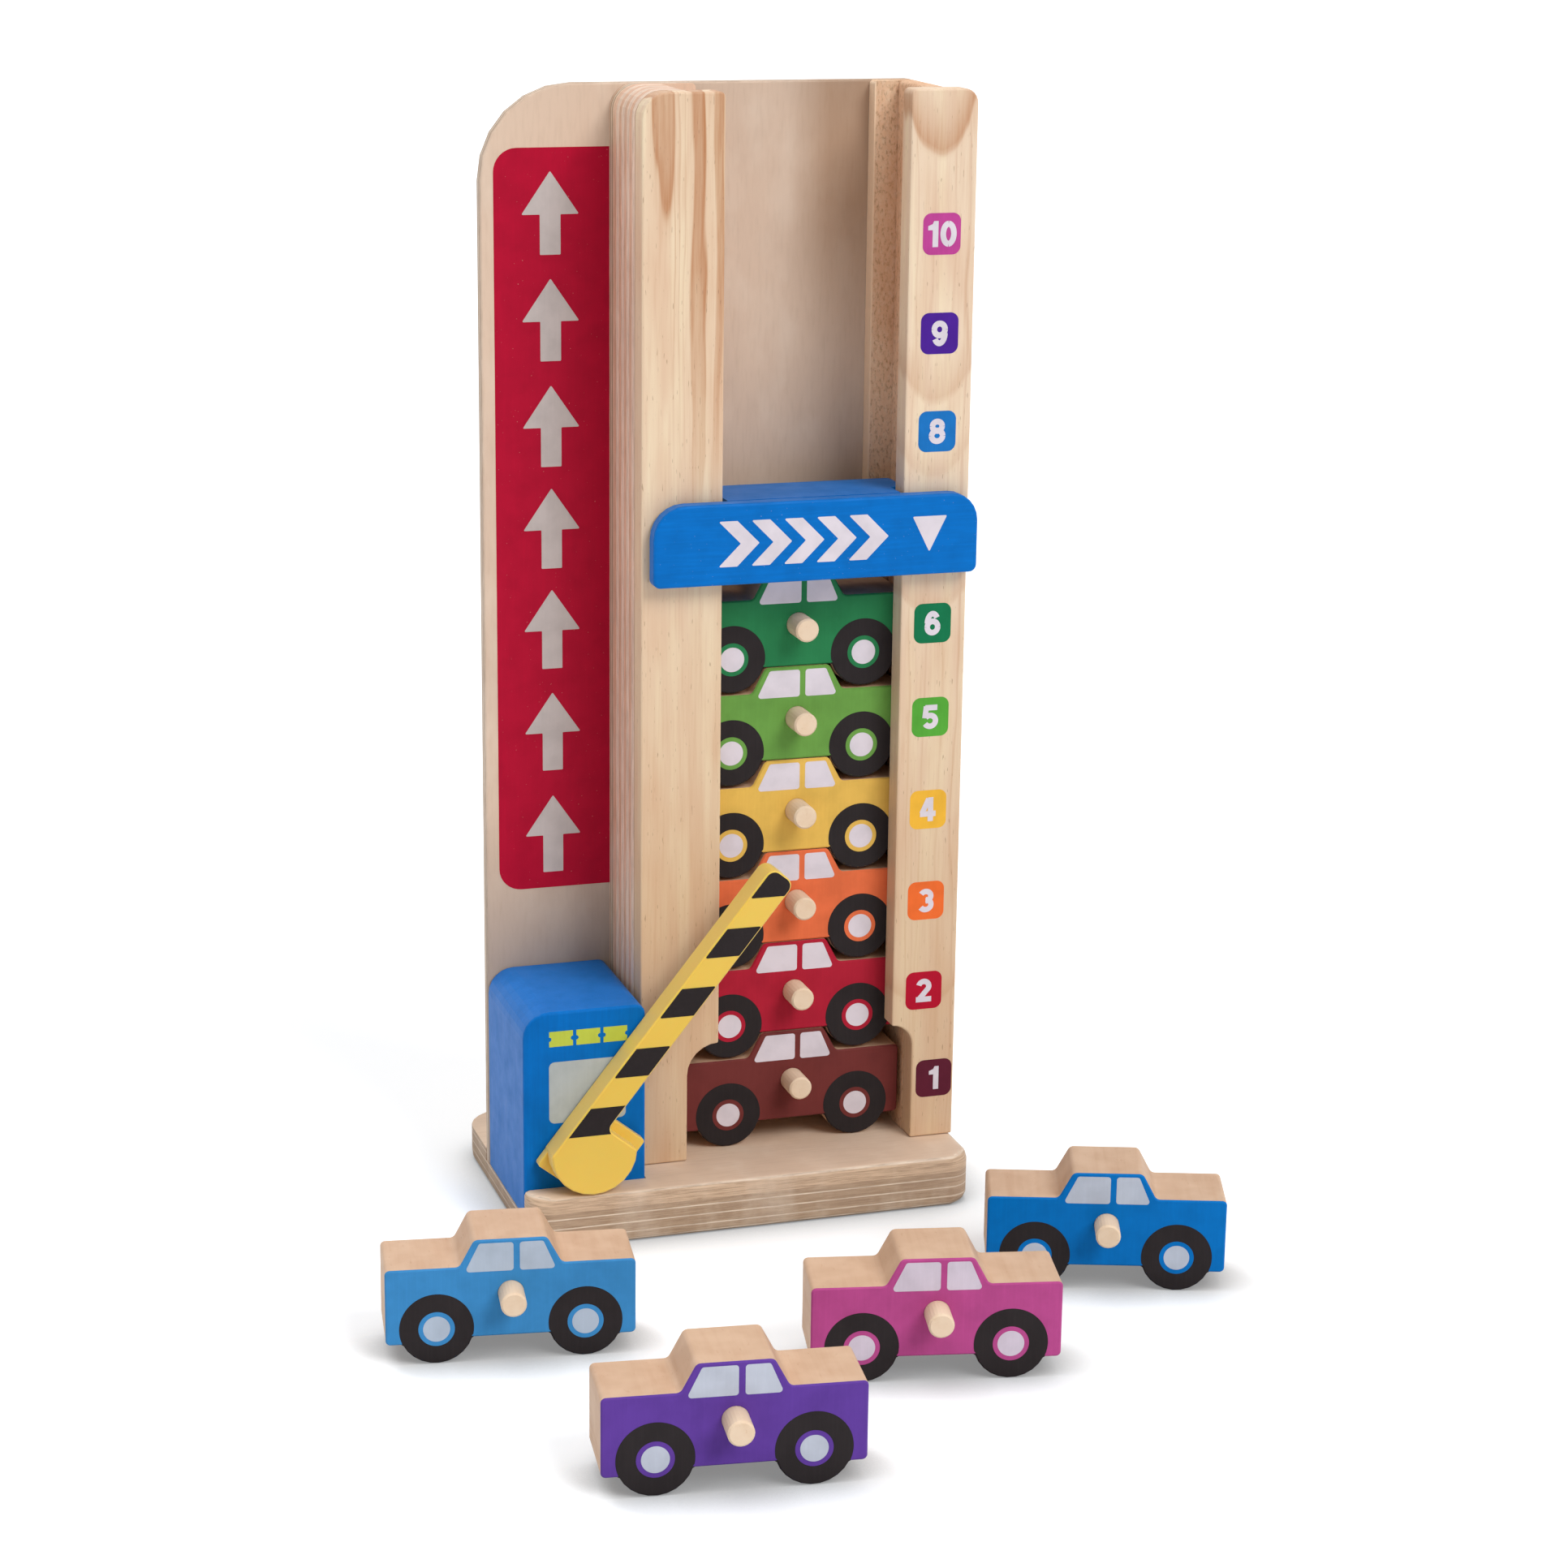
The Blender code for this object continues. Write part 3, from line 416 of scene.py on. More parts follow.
def sawn_pine(name, shade, planed=None):
    """Pine left from the saw: stippled torn fibres, brown with paler scuffs, and broad brown stains.

    What lies left of a place, in millimetres, may be paler: painted light on the left side face, in shade.
    """

    def build(tree):
        torn = spots(tree, 1, (1, 1, 0.5), 4, 0.7)
        pits = spots(tree, 1.1, (1, 1, 0.5), 3, 0.7, (0, 0, 0.5))
        broad = spots(tree, 16, (1, 1, 0.25), 2)
        look = stain(
            tree, shade,
            ("#F0DAC0", torn, 0.45, 0.7, 0.6),
            ("#8E6644", pits, 0.5, 0.68, 0.6),
            ("#C07F50", broad, 0.42, 0.62, 0.35),
        )
        if planed is not None:
            own = add(tree, "TexCoord").outputs["Object"]
            across = add(tree, "SeparateXYZ", {0: own}).outputs["X"]
            # Painted light: the side face left of the place is made paler, as if lit
            look = stain(tree, look, ("#F6DABB", across, (planed + 0.3) * MM, planed * MM, 0.85))
        return look, torn, torn

    return finish(name, build, (0.6, 0.8), 0.12, 0.25)


def sanded_lime(name, pale, dark, light, turn, grain):
    """Sanded limewood: an even pale pink brown, with faint streaks along the grain and short flecks."""

    def build(tree):
        streak = spots(tree, 3, grain, turn=turn)
        short = tuple(0.35 if s == 1 else s * 1.6 for s in grain)
        flecks = spots(tree, 0.4, short, 1, turn=turn)
        flecks = add(tree, "MapRange", {"Value": flecks, "From Min": 0.7, "From Max": 0.76})
        shade = stain(
            tree, pale,
            (dark, streak, 0.45, 0.75, 0.3),
            (dark, flecks, 0, 1, 0.35),
            (light, spots(tree, 11, detail=2), 0.4, 0.68, 0.4),
        )
        return shade, streak, add(tree, "Math", {0: streak, 1: flecks}, operation="SUBTRACT")

    return finish(name, build, (0.5, 0.62), 0.03)


def brushed_paint(name, shade, light=0.2, rough=0.42, grain=(1, 1, 0.05), depth=0.02, gloss=0.06,
                  specks=0, bloom=0):
    """Satin paint on wood: the grain below shows as faint brushed streaks, and specks are rubbed spots.

    Bloom is the pale look of the raised fibres at a low angle of view.
    """
    lit = tuple(min(1, 1.5 * channel) for channel in shade)

    def build(tree):
        streak = spots(tree, 0.9, grain, 4, 0.65)
        cloud = spots(tree, 9)
        tints = [(lit, streak, 0.45, 0.78, light), ((0, 0, 0, 1), cloud, 0.4, 0.7, 0.12)]
        if specks:
            tints.append(("#E8D8C4", spots(tree, 0.7, detail=1), 0.76, 0.8, specks))
        return stain(tree, shade, *tints), cloud, streak

    return finish(name, build, (rough - 0.06, rough + 0.08), depth, gloss, **{"Sheen Weight": bloom})


def moulded_plastic(name, shade):
    """Moulded ABS: even colour, a soft gloss and a very fine spark-eroded texture."""

    def build(tree):
        tint = stain(tree, shade, ("#DDAF3C", spots(tree, 16, detail=2), 0.35, 0.7, 0.1))
        return tint, spots(tree, 1.4, (0.2, 1, 1), 4, 0.7), spots(tree, 0.6, detail=2)

    sockets = {"Subsurface Weight": 0.25, "Subsurface Scale": 3 * MM, "Sheen Weight": 0.25}
    return finish(name, build, (0.28, 0.42), 0.012, 0.4, **sockets)


def zinc_plate(name, shade):
    """Bright zinc plate on turned steel: fine rings from the lathe and a cloudy sheen."""

    def build(tree):
        cloud = spots(tree, 1.5)
        tint = stain(tree, shade, ("#8D9297", cloud, 0.3, 0.7, 0.4))
        return tint, cloud, spots(tree, 0.3, (0.1, 1, 0.1), 2)

    return finish(name, build, (0.25, 0.4), 0.01, 0.5, Metallic=1)


def dress(node, look):
    """Gives a solid its finish."""
    slots = NODES[node].data.materials
    slots.clear()
    slots.append(look)


def put(name, data):
    """Puts an object with its data in the scene."""
    made = bpy.data.objects.new(name, data)
    bpy.context.scene.collection.objects.link(made)
    return made


def mesh_piece(name, points, faces, look, node, slot=None):
    """Puts a finished mesh in the scene, riding on the body of the solid that it lies on."""
    mesh = bpy.data.meshes.new(name)
    mesh.from_pydata(points.tolist(), [], faces)
    mesh.materials.append(look)
    piece = put(name, mesh)
    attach(piece, BODY_OF[node])
    return piece


def solid_mesh(node):
    """A solid's welded points and its triangles, as arrays."""
    mesh = NODES[node].data
    mesh.calc_loop_triangles()
    points = np.empty(len(mesh.vertices) * 3)
    mesh.vertices.foreach_get("co", points)
    corners = np.empty(len(mesh.loop_triangles) * 3, np.int32)
    mesh.loop_triangles.foreach_get("vertices", corners)
    points = points.reshape(-1, 3)
    whole = np.round(points / (WELD * MM)).astype(int)
    _, first, index = np.unique(whole, axis=0, return_index=True, return_inverse=True)
    return points[first], index.reshape(-1)[corners].reshape(-1, 3)


def face_frame(node):
    """The front face of a solid: a point at the middle of its foot, and its right, up and outward directions.

    Outward is the normal of the largest triangle that looks forwards, and right is up crossed with outward.
    """
    points, corners = solid_mesh(node)
    a, b, c = points[corners.T]
    normals = np.cross(b - a, c - a)
    areas = np.linalg.norm(normals, axis=1)
    facing = normals @ FRONT > FORWARD * areas
    out = normals[facing][areas[facing].argmax()]
    out = out / np.linalg.norm(out)
    right = np.cross(UP, out)
    along = points @ right
    foot = (points @ UP).min()
    middle = (along.min() + along.max()) / 2
    return right * middle + UP * foot + out * (points @ out).max(), right, UP, out


def rounder_board(node, corner, edge, corner_edge):
    """The board drawn again with rounder front corners and edges, as points and triangles, in metres.

    A point's inset from the outline and its drop from the nearer face, where both are within the solid's own
    small edge, grow in proportion to the new edge. That edge widens in a corner as 1 - 1 / (cos + sin) of the
    corner's angle does, which leaves the flat face's own corner round and never hollow. Round a front corner
    a point then keeps its angle and its inset, and its distance is taken from the new corner's centre. The
    solid's points may miss its corner's arc by a hair.
    """
    points, corners = solid_mesh(node)
    low, high = points.min(axis=0), points.max(axis=0)
    old_edge, old_front, old_rear, hair = 0.7 * MM, 4 * MM, 16 * MM, 0.1 * MM
    reach = old_edge * 1.01
    half = (high[:2] - low[:2]) / 2
    flat, side = points[:, :2], np.sign(points[:, :2])
    front = points[:, 1] < 0
    radius = np.where(front, old_front, old_rear)[:, None]
    beyond = np.abs(flat) - (half - radius)
    straight = (beyond == beyond.max(axis=1, keepdims=True)) * 1.0
    turn = np.where((beyond > 0).all(axis=1, keepdims=True), beyond, straight)
    turn /= np.linalg.norm(turn, axis=1, keepdims=True)
    inset = radius[:, 0] - (beyond * turn).sum(axis=1)
    drop = np.minimum(high[2] - points[:, 2], points[:, 2] - low[2])
    rise = (1 - 1 / turn.sum(axis=1)) / (1 - math.sqrt(0.5))
    new_edge = edge + (corner_edge - edge) * rise
    grow = np.where((inset < reach) & (drop < reach), new_edge / old_edge, 1.0)
    moved = (1 - grow) * drop * np.sign(points[:, 2] - (low[2] + high[2]) / 2)
    push = (1 - grow) * inset
    round_corner = front & (beyond > -hair).all(axis=1)
    spread = np.abs(flat) + turn * inset[:, None]
    spread = np.where(round_corner[:, None], half - corner + turn * corner, spread)
    flat = side * (spread - turn * (inset - push)[:, None])
    return np.column_stack([flat, points[:, 2] + moved]), corners.tolist()


def rounded(corners, radius, steps=ARC_STEPS):
    """A closed outline with round corners, in millimetres.

    At each corner an arc of the radius touches both sides: its centre lies on the corner's bisector, radius /
    sin(half angle) away, and its points turn evenly from one touching point to the other.
    """
    here = np.asarray(corners, float)
    radius = np.broadcast_to(np.asarray(radius, float), len(here))[:, None]
    before = np.roll(here, 1, axis=0) - here
    after = np.roll(here, -1, axis=0) - here
    before /= np.linalg.norm(before, axis=1, keepdims=True)
    after /= np.linalg.norm(after, axis=1, keepdims=True)
    half = np.arccos(np.clip((before * after).sum(1, keepdims=True), -1, 1)) / 2
    bisector = before + after
    bisector /= np.linalg.norm(bisector, axis=1, keepdims=True)
    centre = here + bisector * radius / np.sin(half)
    first = here + before * radius / np.tan(half) - centre
    last = here + after * radius / np.tan(half) - centre
    turn = (np.pi - 2 * half)[:, None]
    share = np.linspace(0, 1, steps + 1)[None, :, None]
    spread = first[:, None] * np.sin((1 - share) * turn) + last[:, None] * np.sin(share * turn)
    return (centre[:, None] + spread / np.sin(turn)).reshape(-1, 2)


def box_corners(low_a, low_b, high_a, high_b):
    """The corners of a rectangle, counter-clockwise."""
    return [(low_a, low_b), (high_a, low_b), (high_a, high_b), (low_a, high_b)]


def circle(a, b, radius):
    """A round outline: the centre plus the radius times the cosine and sine of evenly spaced angles."""
    angle = np.linspace(0, 2 * np.pi, CIRCLE_STEPS, endpoint=False)
    return np.column_stack([a + radius * np.cos(angle), b + radius * np.sin(angle)])


def coat(name, outlines, face, level, look, node, slot=None, step=0):
    """Flat printed shapes on a face: each outline is carried outward by one coat to its level, and closed.

    A point is the face's origin plus its first number times right, its second times up and its level times
    outward. Each outline may lie a step above the one before, so that crossing strokes share no surface.
    """
    origin, right, up, out = face
    points, faces, count = [], [], 0
    for i, outline in enumerate(outlines):
        flat = origin + MM * (outline[:, :1] * right + outline[:, 1:] * up)
        size = len(outline)
        top = level + step * i
        points += [flat + out * COAT * top * MM, flat + out * COAT * (top - 1) * MM]
        ring = np.arange(size)
        after = np.roll(ring, -1)
        walls = np.column_stack([after, ring, ring + size, after + size]) + count
        faces += [(ring + count).tolist(), (ring[::-1] + size + count).tolist(), *walls.tolist()]
        count += 2 * size
    return mesh_piece(name, np.concatenate(points), faces, look, node, slot)


def painted_front(name, node, face, pick, look, slot=None):
    """A coat over part of a solid's front with its broken edges: triangles, a copy behind, and walls.

    The pick takes each triangle's middle across and up the face in millimetres, and whether it lies on an
    edge. The walls stand on the rim: every side that only one of the picked triangles uses.
    """
    origin, right, up, out = face
    points, corners = solid_mesh(node)
    behind = (origin @ out - points @ out) / MM
    front = corners[(behind[corners] < EDGE).all(axis=1)]
    middles = (points[front].mean(axis=1) - origin) / MM
    front = front[pick(middles @ right, middles @ up, behind[front].max(axis=1) > EDGE / 2)]
    used, front = np.unique(front, return_inverse=True)
    front = front.reshape(-1, 3)
    points = points[used]
    size = len(points)
    ends = np.concatenate([front[:, [0, 1]], front[:, [1, 2]], front[:, [2, 0]]])
    rim = ends[~np.isin(ends @ (size, 1), ends[:, ::-1] @ (size, 1))]
    walls = np.column_stack([rim[:, 1], rim[:, 0], rim[:, 0] + size, rim[:, 1] + size])
    faces = front.tolist() + (front[:, ::-1] + size).tolist() + walls.tolist()
    return mesh_piece(name, np.concatenate([points + out * COAT * MM, points]), faces, look, node, slot)


def pen(path, width):
    """The outline of a flat pen's stroke: the path moved half the width right, and back on its left."""
    along = np.gradient(path, axis=0)
    along /= np.linalg.norm(along, axis=1, keepdims=True)
    aside = np.column_stack([-along[:, 1], along[:, 0]]) * width / 2
    return np.concatenate([path - aside, (path + aside)[::-1]])


def arc(a, b, wide, high, start, end, steps=20):
    """Part of an ellipse from one angle in degrees to another."""
    turn = np.radians(np.linspace(start, end, steps))
    return np.column_stack([a + wide * np.cos(turn), b + high * np.sin(turn)])


def loop(*ellipse):
    """A whole ellipse in two halves."""
    return arc(*ellipse, 0, 180), arc(*ellipse, 180, 360)


def line(*points):
    """A straight path."""
    return np.array(points, float)


def figure_strokes(digit):
    """The pen strokes of a bold figure two units high, apart from 1, which is an outline of its own."""
    side, top = 0.44, 0.77
    return {
        "0": (arc(0, 0, side, top, 90, 270), arc(0, 0, side, top, -90, 90)),
        "2": (np.concatenate([arc(0, 0.34, side, 0.43, 165, -25), [(-0.34, -0.68)]]),
              line((-0.66, -top), (0.67, -top))),
        "3": (arc(-0.02, 0.37, side, 0.4, 150, -90), arc(-0.02, -0.35, 0.47, 0.42, 90, -150)),
        "4": (line((0.21, 1), (0.21, -1)), line((0.05, 0.9), (-0.52, -0.32)),
              line((-0.68, -0.37), (0.66, -0.37))),
        "5": (line((-0.44, top), (0.58, top)), line((-0.35, 0.9), (-0.45, -0.08)),
              arc(-0.02, -0.32, 0.47, 0.45, 140, -150)),
        "6": (arc(0, 0, side, top, 180, 35), *loop(0, -0.31, side, 0.46)),
        "7": (line((-0.62, top), (0.64, top)), line((0.45, 0.75), (-0.2, -1))),
        "8": (*loop(0, 0.41, 0.4, 0.37), *loop(0, -0.35, 0.46, 0.42)),
        "9": (arc(0, 0, side, top, 0, -145), *loop(0, 0.31, side, 0.46)),
    }[digit]


def figure(digit, height, middle):
    """The outlines of a bold figure."""
    if digit == "1":
        shape = [(-0.04, -1), (0.42, -1), (0.42, 1), (0.06, 1), (-0.06, 0.76), (-0.42, 0.62), (-0.42, 0.3),
                 (-0.04, 0.3)]
        return [np.array(shape) * height / 2 + middle]
    return [pen(path, PEN) * height / 2 + middle for path in figure_strokes(digit)]


def front_of(node, x=0, z=0):
    """A face that lies in a solid's front plane, measured from the frame's own X and Z."""
    low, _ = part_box(node)
    return np.array((x * MM, low.y, z * MM)), np.array((1.0, 0.0, 0.0)), UP, FRONT


class GARAGE_OT_tower(bpy.types.Operator):
    """Finishes the base board, the back panel, the posts, the pin and the screws"""

    bl_idname = "garage.tower"
    bl_label = "Tower"

    def execute(self, context):
        wood, sizes = context.scene.garage_woods, context.scene.garage_sizes
        for node, pale, (name, *marks) in (("left_stile", wood.pine, LEFT_PINE),
                                           ("right_stile", "#E6CDB2", RIGHT_PINE)):
            dress(node, planed_pine(name, pale, wood.pine_ring, node, *marks))
        kinds = {"veneer": wood.birch, "cross": wood.birch_dark, "light": wood.birch_light,
                 "long": wood.birch_long}
        board = plywood("Birch plywood, thick sanded board", kinds, BASE_PLIES, "base_board", 2, 0.15)
        dress("base_board", board)
        shape = rounder_board("base_board", sizes.corner, sizes.edge, sizes.corner_edge)
        piece = mesh_piece("base_board_rounded", *shape, board, "base_board", "birch_plywood")
        piece.data.shade_smooth()
        even = piece.modifiers.new("Even shading", "WEIGHTED_NORMAL")
        even.keep_sharp = True
        piece.data.set_sharp_from_angle(angle=math.radians(60))
        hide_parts("base_board")
        # The back panel's veneer is darkened with painted shade lower down, to the right and in the channel
        # The left strip's veneer is a paler, pinker copy of the birch: painted light against the shade beside the
        # panel, and a painted reflection of the red sign
        for node, tint, painted_shade in (("back_panel", "#DAC0AA", PANEL_PAINTED_SHADE), ("left_strip", "#F3CDB0", ())):
            sheet = {**kinds, "veneer": tint}
            dress(node, plywood(f"Birch plywood, thin sheet, {node}", sheet, THIN_PLIES, node, 1, 0.1, painted_shade))
        stack = [((i + start) / SPACER_SHEETS, (i + end) / SPACER_SHEETS, kind)
                 for i in range(SPACER_SHEETS) for start, end, kind in SPACER_PLIES]
        pine = {"veneer": wood.birch, "cross": "#EDBC9C", "light": "#F9DEC9"}
        dress("left_spacer", plywood("Pine plywood, sawn edge", pine, stack, "left_spacer", 1, 0.3))
        dress("right_spacer", sawn_pine("Pine, sawn", wood.sawn))
        # The right strip's left side face, left of 56.4 mm, is made paler with painted light
        dress("right_strip", sawn_pine("Pine, sawn and stained", "#E6C2A0", 56.4))
        zinc = zinc_plate("Steel, zinc plated", context.scene.garage_paints.zinc)
        for node in NODES:
            if node.startswith(("base_screw", "gate_pin")):
                dress(node, zinc)
        return {"FINISHED"}


class GARAGE_OT_sign(bpy.types.Operator):
    """Prints the red sign on the back panel, with seven plain arrows"""

    bl_idname = "garage.sign"
    bl_label = "Sign"

    def execute(self, context):
        paint = context.scene.garage_paints
        face = front_of("back_panel")
        ground = rounded(box_corners(-76, 110.5, -35.6, 369), (8, 0.05, 0.05, 8))
        red = brushed_paint("Red screen print on birch", paint.red, 0.15, 0.45, gloss=0.12, specks=0.25)
        coat("sign_ground", [ground], face, 1, red, "back_panel", "red_paint")
        middle, half, shaft, head, tail = -56.5, 10, 3.6, 0.5, 14
        left, right = middle - shaft, middle + shaft
        arrows = []
        for z in (347.2, 311.2, 274.9, 239.4, 203.9, 167.3, 130.2):
            tip, barb, end = z + tail, z - head, z - tail
            arrows.append(rounded([(left, end), (right, end), (right, barb), (middle + half, barb),
                                   (middle, tip), (middle - half, barb), (left, barb)], *NICK))
        pale = brushed_paint("Pale screen print on the sign", paint.pale, 0.1, 0.5)
        coat("sign_arrows", arrows, face, 2, pale, "back_panel")
        return {"FINISHED"}


class GARAGE_OT_booth(bpy.types.Operator):
    """Paints the ticket booth and prints its window and three plain tickets"""

    bl_idname = "garage.booth"
    bl_label = "Booth"

    def execute(self, context):
        paint = context.scene.garage_paints
        blue = brushed_paint("Blue satin paint on the booth", paint.blue, 0.25, 0.38, bloom=0.07)
        dress("ticket_booth", blue)
        face = front_of("ticket_booth")
        pane = brushed_paint("Grey screen print, booth window", paint.pane, 0.1, 0.45)
        window = rounded(box_corners(-71.5, 42, -44.3, 64.3), 2)
        coat("booth_window", [window], face, 1, pane, "ticket_booth")
        count, first, width, gap, foot, top, bite = 3, -71.4, 8.4, 1.2, 69.9, 75.4, 0.8
        middle = (foot + top) / 2
        tickets = []
        for i in range(count):
            low = first + i * (width + gap)
            high = low + width
            left = arc(low, middle, bite, bite, 90, -90, 9)
            right = arc(high, middle, -bite, -bite, 90, -90, 9)
            tickets.append(np.concatenate([[(low, top)], left, [(low, foot), (high, foot)], right,
                                           [(high, top)]]))
        lime = brushed_paint("Lime screen print, ticket shapes", paint.lime, 0.1, 0.45)
        coat("booth_tickets", tickets, face, 1, lime, "ticket_booth")
        return {"FINISHED"}


class GARAGE_OT_gate(bpy.types.Operator):
    """Finishes the yellow gate and prints its black stripes"""

    bl_idname = "garage.gate"
    bl_label = "Gate"

    def execute(self, context):
        paint, sizes = context.scene.garage_paints, context.scene.garage_sizes
        dress("gate_arm", moulded_plastic("ABS, moulded yellow", paint.yellow))
        angle = sizes.gate_angle
        pivot = next(joint for joint in frame["joints"] if joint["name"] == "gate_swing")["pos_m"]
        low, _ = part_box("gate_arm")
        origin = np.array((pivot[0], low.y, pivot[2]))
        along = np.array((math.cos(angle), 0.0, math.sin(angle)))
        across = np.array((-math.sin(angle), 0.0, math.cos(angle)))
        face = (origin, along, across, FRONT)
        near, far, end, tip, nick, lowest, last = 1.9, 11.4, 114.9, 3, 0.35, 40.5, 4

        def at(height, side):
            """The place on a side of the arm at a height above the pin."""
            return (height - side * math.cos(angle)) / math.sin(angle), side

        first = lowest - pivot[2] / MM
        stripe, pitch = sizes.stripe / MM, sizes.stripe_pitch / MM
        nook = arc(11.7, -1.1, 3, 3, 165, 90, 8)
        top = first + stripe
        stripes = [np.concatenate([[at(first, far)], nook, [at(top, near), at(top, far)]])]
        for i in range(1, last):
            foot = first + i * pitch
            corners = [at(foot, far), at(foot, near), at(foot + stripe, near), at(foot + stripe, far)]
            stripes.append(rounded(corners, nick, 3))
        foot = first + last * pitch
        corners = [at(foot, far), at(foot, near), (end, near), (end, far)]
        stripes.append(rounded(corners, (nick, nick, tip, tip)))
        black = brushed_paint("Black pad print on ABS", paint.black, 0.3, 0.42, (1, 1, 1), 0.01)
        coat("gate_stripes", stripes, face, 1, black, "gate_arm")
        return {"FINISHED"}


class GARAGE_OT_marker(bpy.types.Operator):
    """Paints the level marker and prints five chevrons and the pointer"""

    bl_idname = "garage.marker"
    bl_label = "Level marker"

    def execute(self, context):
        paint = context.scene.garage_paints
        blue = brushed_paint("Blue satin paint on the marker", paint.blue, 0.35, 0.38, (0.05, 1, 1),
                             specks=0.15, bloom=0.07)
        for node in ("marker_plate", "marker_slider"):
            dress(node, blue)
        face = front_of("marker_plate")
        white = brushed_paint("White screen print on blue", paint.white, 0, 0.45, (0.06, 1, 1))
        left, right, foot, top, count, stroke = -11, 49.4, 233.2, 248.8, 5, 6.6
        nose = (top - foot) / 2
        pitch = (right - left - nose - stroke) / (count - 1)
        chevrons = []
        for i in range(count):
            start = left + i * pitch
            end = start + stroke
            chevrons.append(rounded([(start, foot), (end, foot), (end + nose, foot + nose), (end, top),
                                     (start, top), (start + nose, foot + nose)], *NICK))
        coat("marker_chevrons", chevrons, face, 1, white, "marker_plate")
        pointer = rounded([(58, 247.2), (64.2, 234.8), (70.4, 247.2)], *NICK)
        coat("marker_pointer", [pointer], face, 1, white, "marker_plate")
        return {"FINISHED"}


class GARAGE_OT_levels(bpy.types.Operator):
    """Prints the ten numbered badges on the right stile"""

    bl_idname = "garage.levels"
    bl_label = "Level numbers"

    def execute(self, context):
        paint, sizes = context.scene.garage_paints, context.scene.garage_sizes
        white = brushed_paint("White screen print, numerals", paint.white, 0, 0.45)
        half, tall, numeral = sizes.badge / MM / 2, 7, sizes.numeral / MM
        first, usual = 73.1, 68.5
        for level, code in enumerate(BADGE_PAINTS, 1):
            z = (sizes.first_badge + sizes.badge_pitch * (level - 1)) / MM
            face = front_of("right_stile", first if level == 1 else usual, z)
            look = brushed_paint(f"Screen print, badge {level}", linear(code), 0.15, 0.45)
            plate = rounded(box_corners(-half, -tall, half, tall), 2.9)
            coat(f"badge_{level:02d}", [plate], face, 1, look, "right_stile")
            places = (-0.36, 0.27) if level == 10 else (0,)
            outlines = []
            for digit, share in zip(str(level), places):
                outlines += figure(digit, numeral, (share * numeral, 0))
            coat(f"numeral_{level:02d}", outlines, face, 2, white, "right_stile", step=0.1)
        return {"FINISHED"}


class GARAGE_OT_cars(bpy.types.Operator):
    """Finishes the cars' bare wood and pegs"""

    bl_idname = "garage.cars"
    bl_label = "Cars"

    def execute(self, context):
        wood = context.scene.garage_woods
        for node in CARS:
            _, right, _, _ = face_frame(node)
            turn = -math.atan2(right[1], right[0])
            body = (f"Limewood, sanded, {node}", wood.lime, wood.lime_dark, "#DDBFA4")
            dress(node, sanded_lime(*body, turn, (1, 0.07, 1)))
            peg = (f"Birch dowel, turned, {node}", wood.dowel, "#D2AC86", "#EBD6BC")
            dress(f"{node}_peg", sanded_lime(*peg, turn, (1, 0.1, 1)))
        return {"FINISHED"}


class GARAGE_OT_car_fronts(bpy.types.Operator):
    """Paints the cars' fronts and prints their wheels and windows"""

    bl_idname = "garage.car_fronts"
    bl_label = "Car fronts"

    def execute(self, context):
        paint, sizes = context.scene.garage_paints, context.scene.garage_sizes
        white = brushed_paint("White screen print, windows", paint.white, 0, 0.45)
        black = brushed_paint("Black screen print, tyres", paint.black, 0.3, 0.5)
        base, wheel = sizes.wheel_base / MM / 2, sizes.wheel / MM
        belly, end, sill, head, margin = 8.45, 6.9, 30.7, 40.3, 0.3

        def on_tyre(across, up, edge):
            """Whether a triangle lies on the broken edge under a wheel."""
            return edge & (np.hypot(abs(across) - base, up - wheel) < wheel + margin) & (up < belly)

        disc = circle(0, wheel, wheel)
        below = disc[:, 1] < np.where(disc[:, 0] > 0, end, belly)
        disc[below] = circle(0, wheel, wheel - EDGE)[below]
        tyres = [disc + (base, 0), (disc * (-1, 1))[::-1] - (base, 0)]
        rings = [circle(side, wheel, sizes.ring / MM) for side in (-base, base)]
        hubs = [circle(side, wheel, sizes.hub / MM) for side in (-base, base)]
        panes = [rounded([(-14.7, sill), (0.9, sill), (0.9, head), (-10, head)], 1),
                 rounded([(2.9, sill), (14.5, sill), (10.4, head), (2.9, head)], 1)]
        for node, (slot, code) in zip(CARS, PAINTS.items()):
            face = face_frame(node)
            look = brushed_paint(f"Satin paint, {slot}", linear(code), 0.15, 0.42)
            painted_front(f"{node}_paint", node, face, lambda *place: ~on_tyre(*place), look, slot)
            painted_front(f"{node}_tyre_edges", node, face, on_tyre, black)
            coat(f"{node}_tyres", tyres, face, 2, black, node)
            coat(f"{node}_rings", rings, face, 3, look, node, slot)
            light = white
            if node in LOOSE_INKS:
                ink = linear(LOOSE_INKS[node])
                light = brushed_paint(f"Cool white screen print, {node}", ink, 0.1, 0.45)
            coat(f"{node}_hubs", hubs, face, 4, light, node)
            coat(f"{node}_windows", panes, face, 2, light, node)
        return {"FINISHED"}


def sun(name, strength, turn, height, spread):
    """A broad soft light: its turn from straight in front towards the right, its height and its spread."""
    lamp = bpy.data.lights.new(name, "SUN")
    lamp.energy = strength
    lamp.angle = math.radians(spread)
    a, b = math.radians(turn), math.radians(height)
    source = Vector((math.sin(a) * math.cos(b), -math.cos(a) * math.cos(b), math.sin(b)))
    put(name, lamp).rotation_euler = source.to_track_quat("Z", "Y").to_euler()


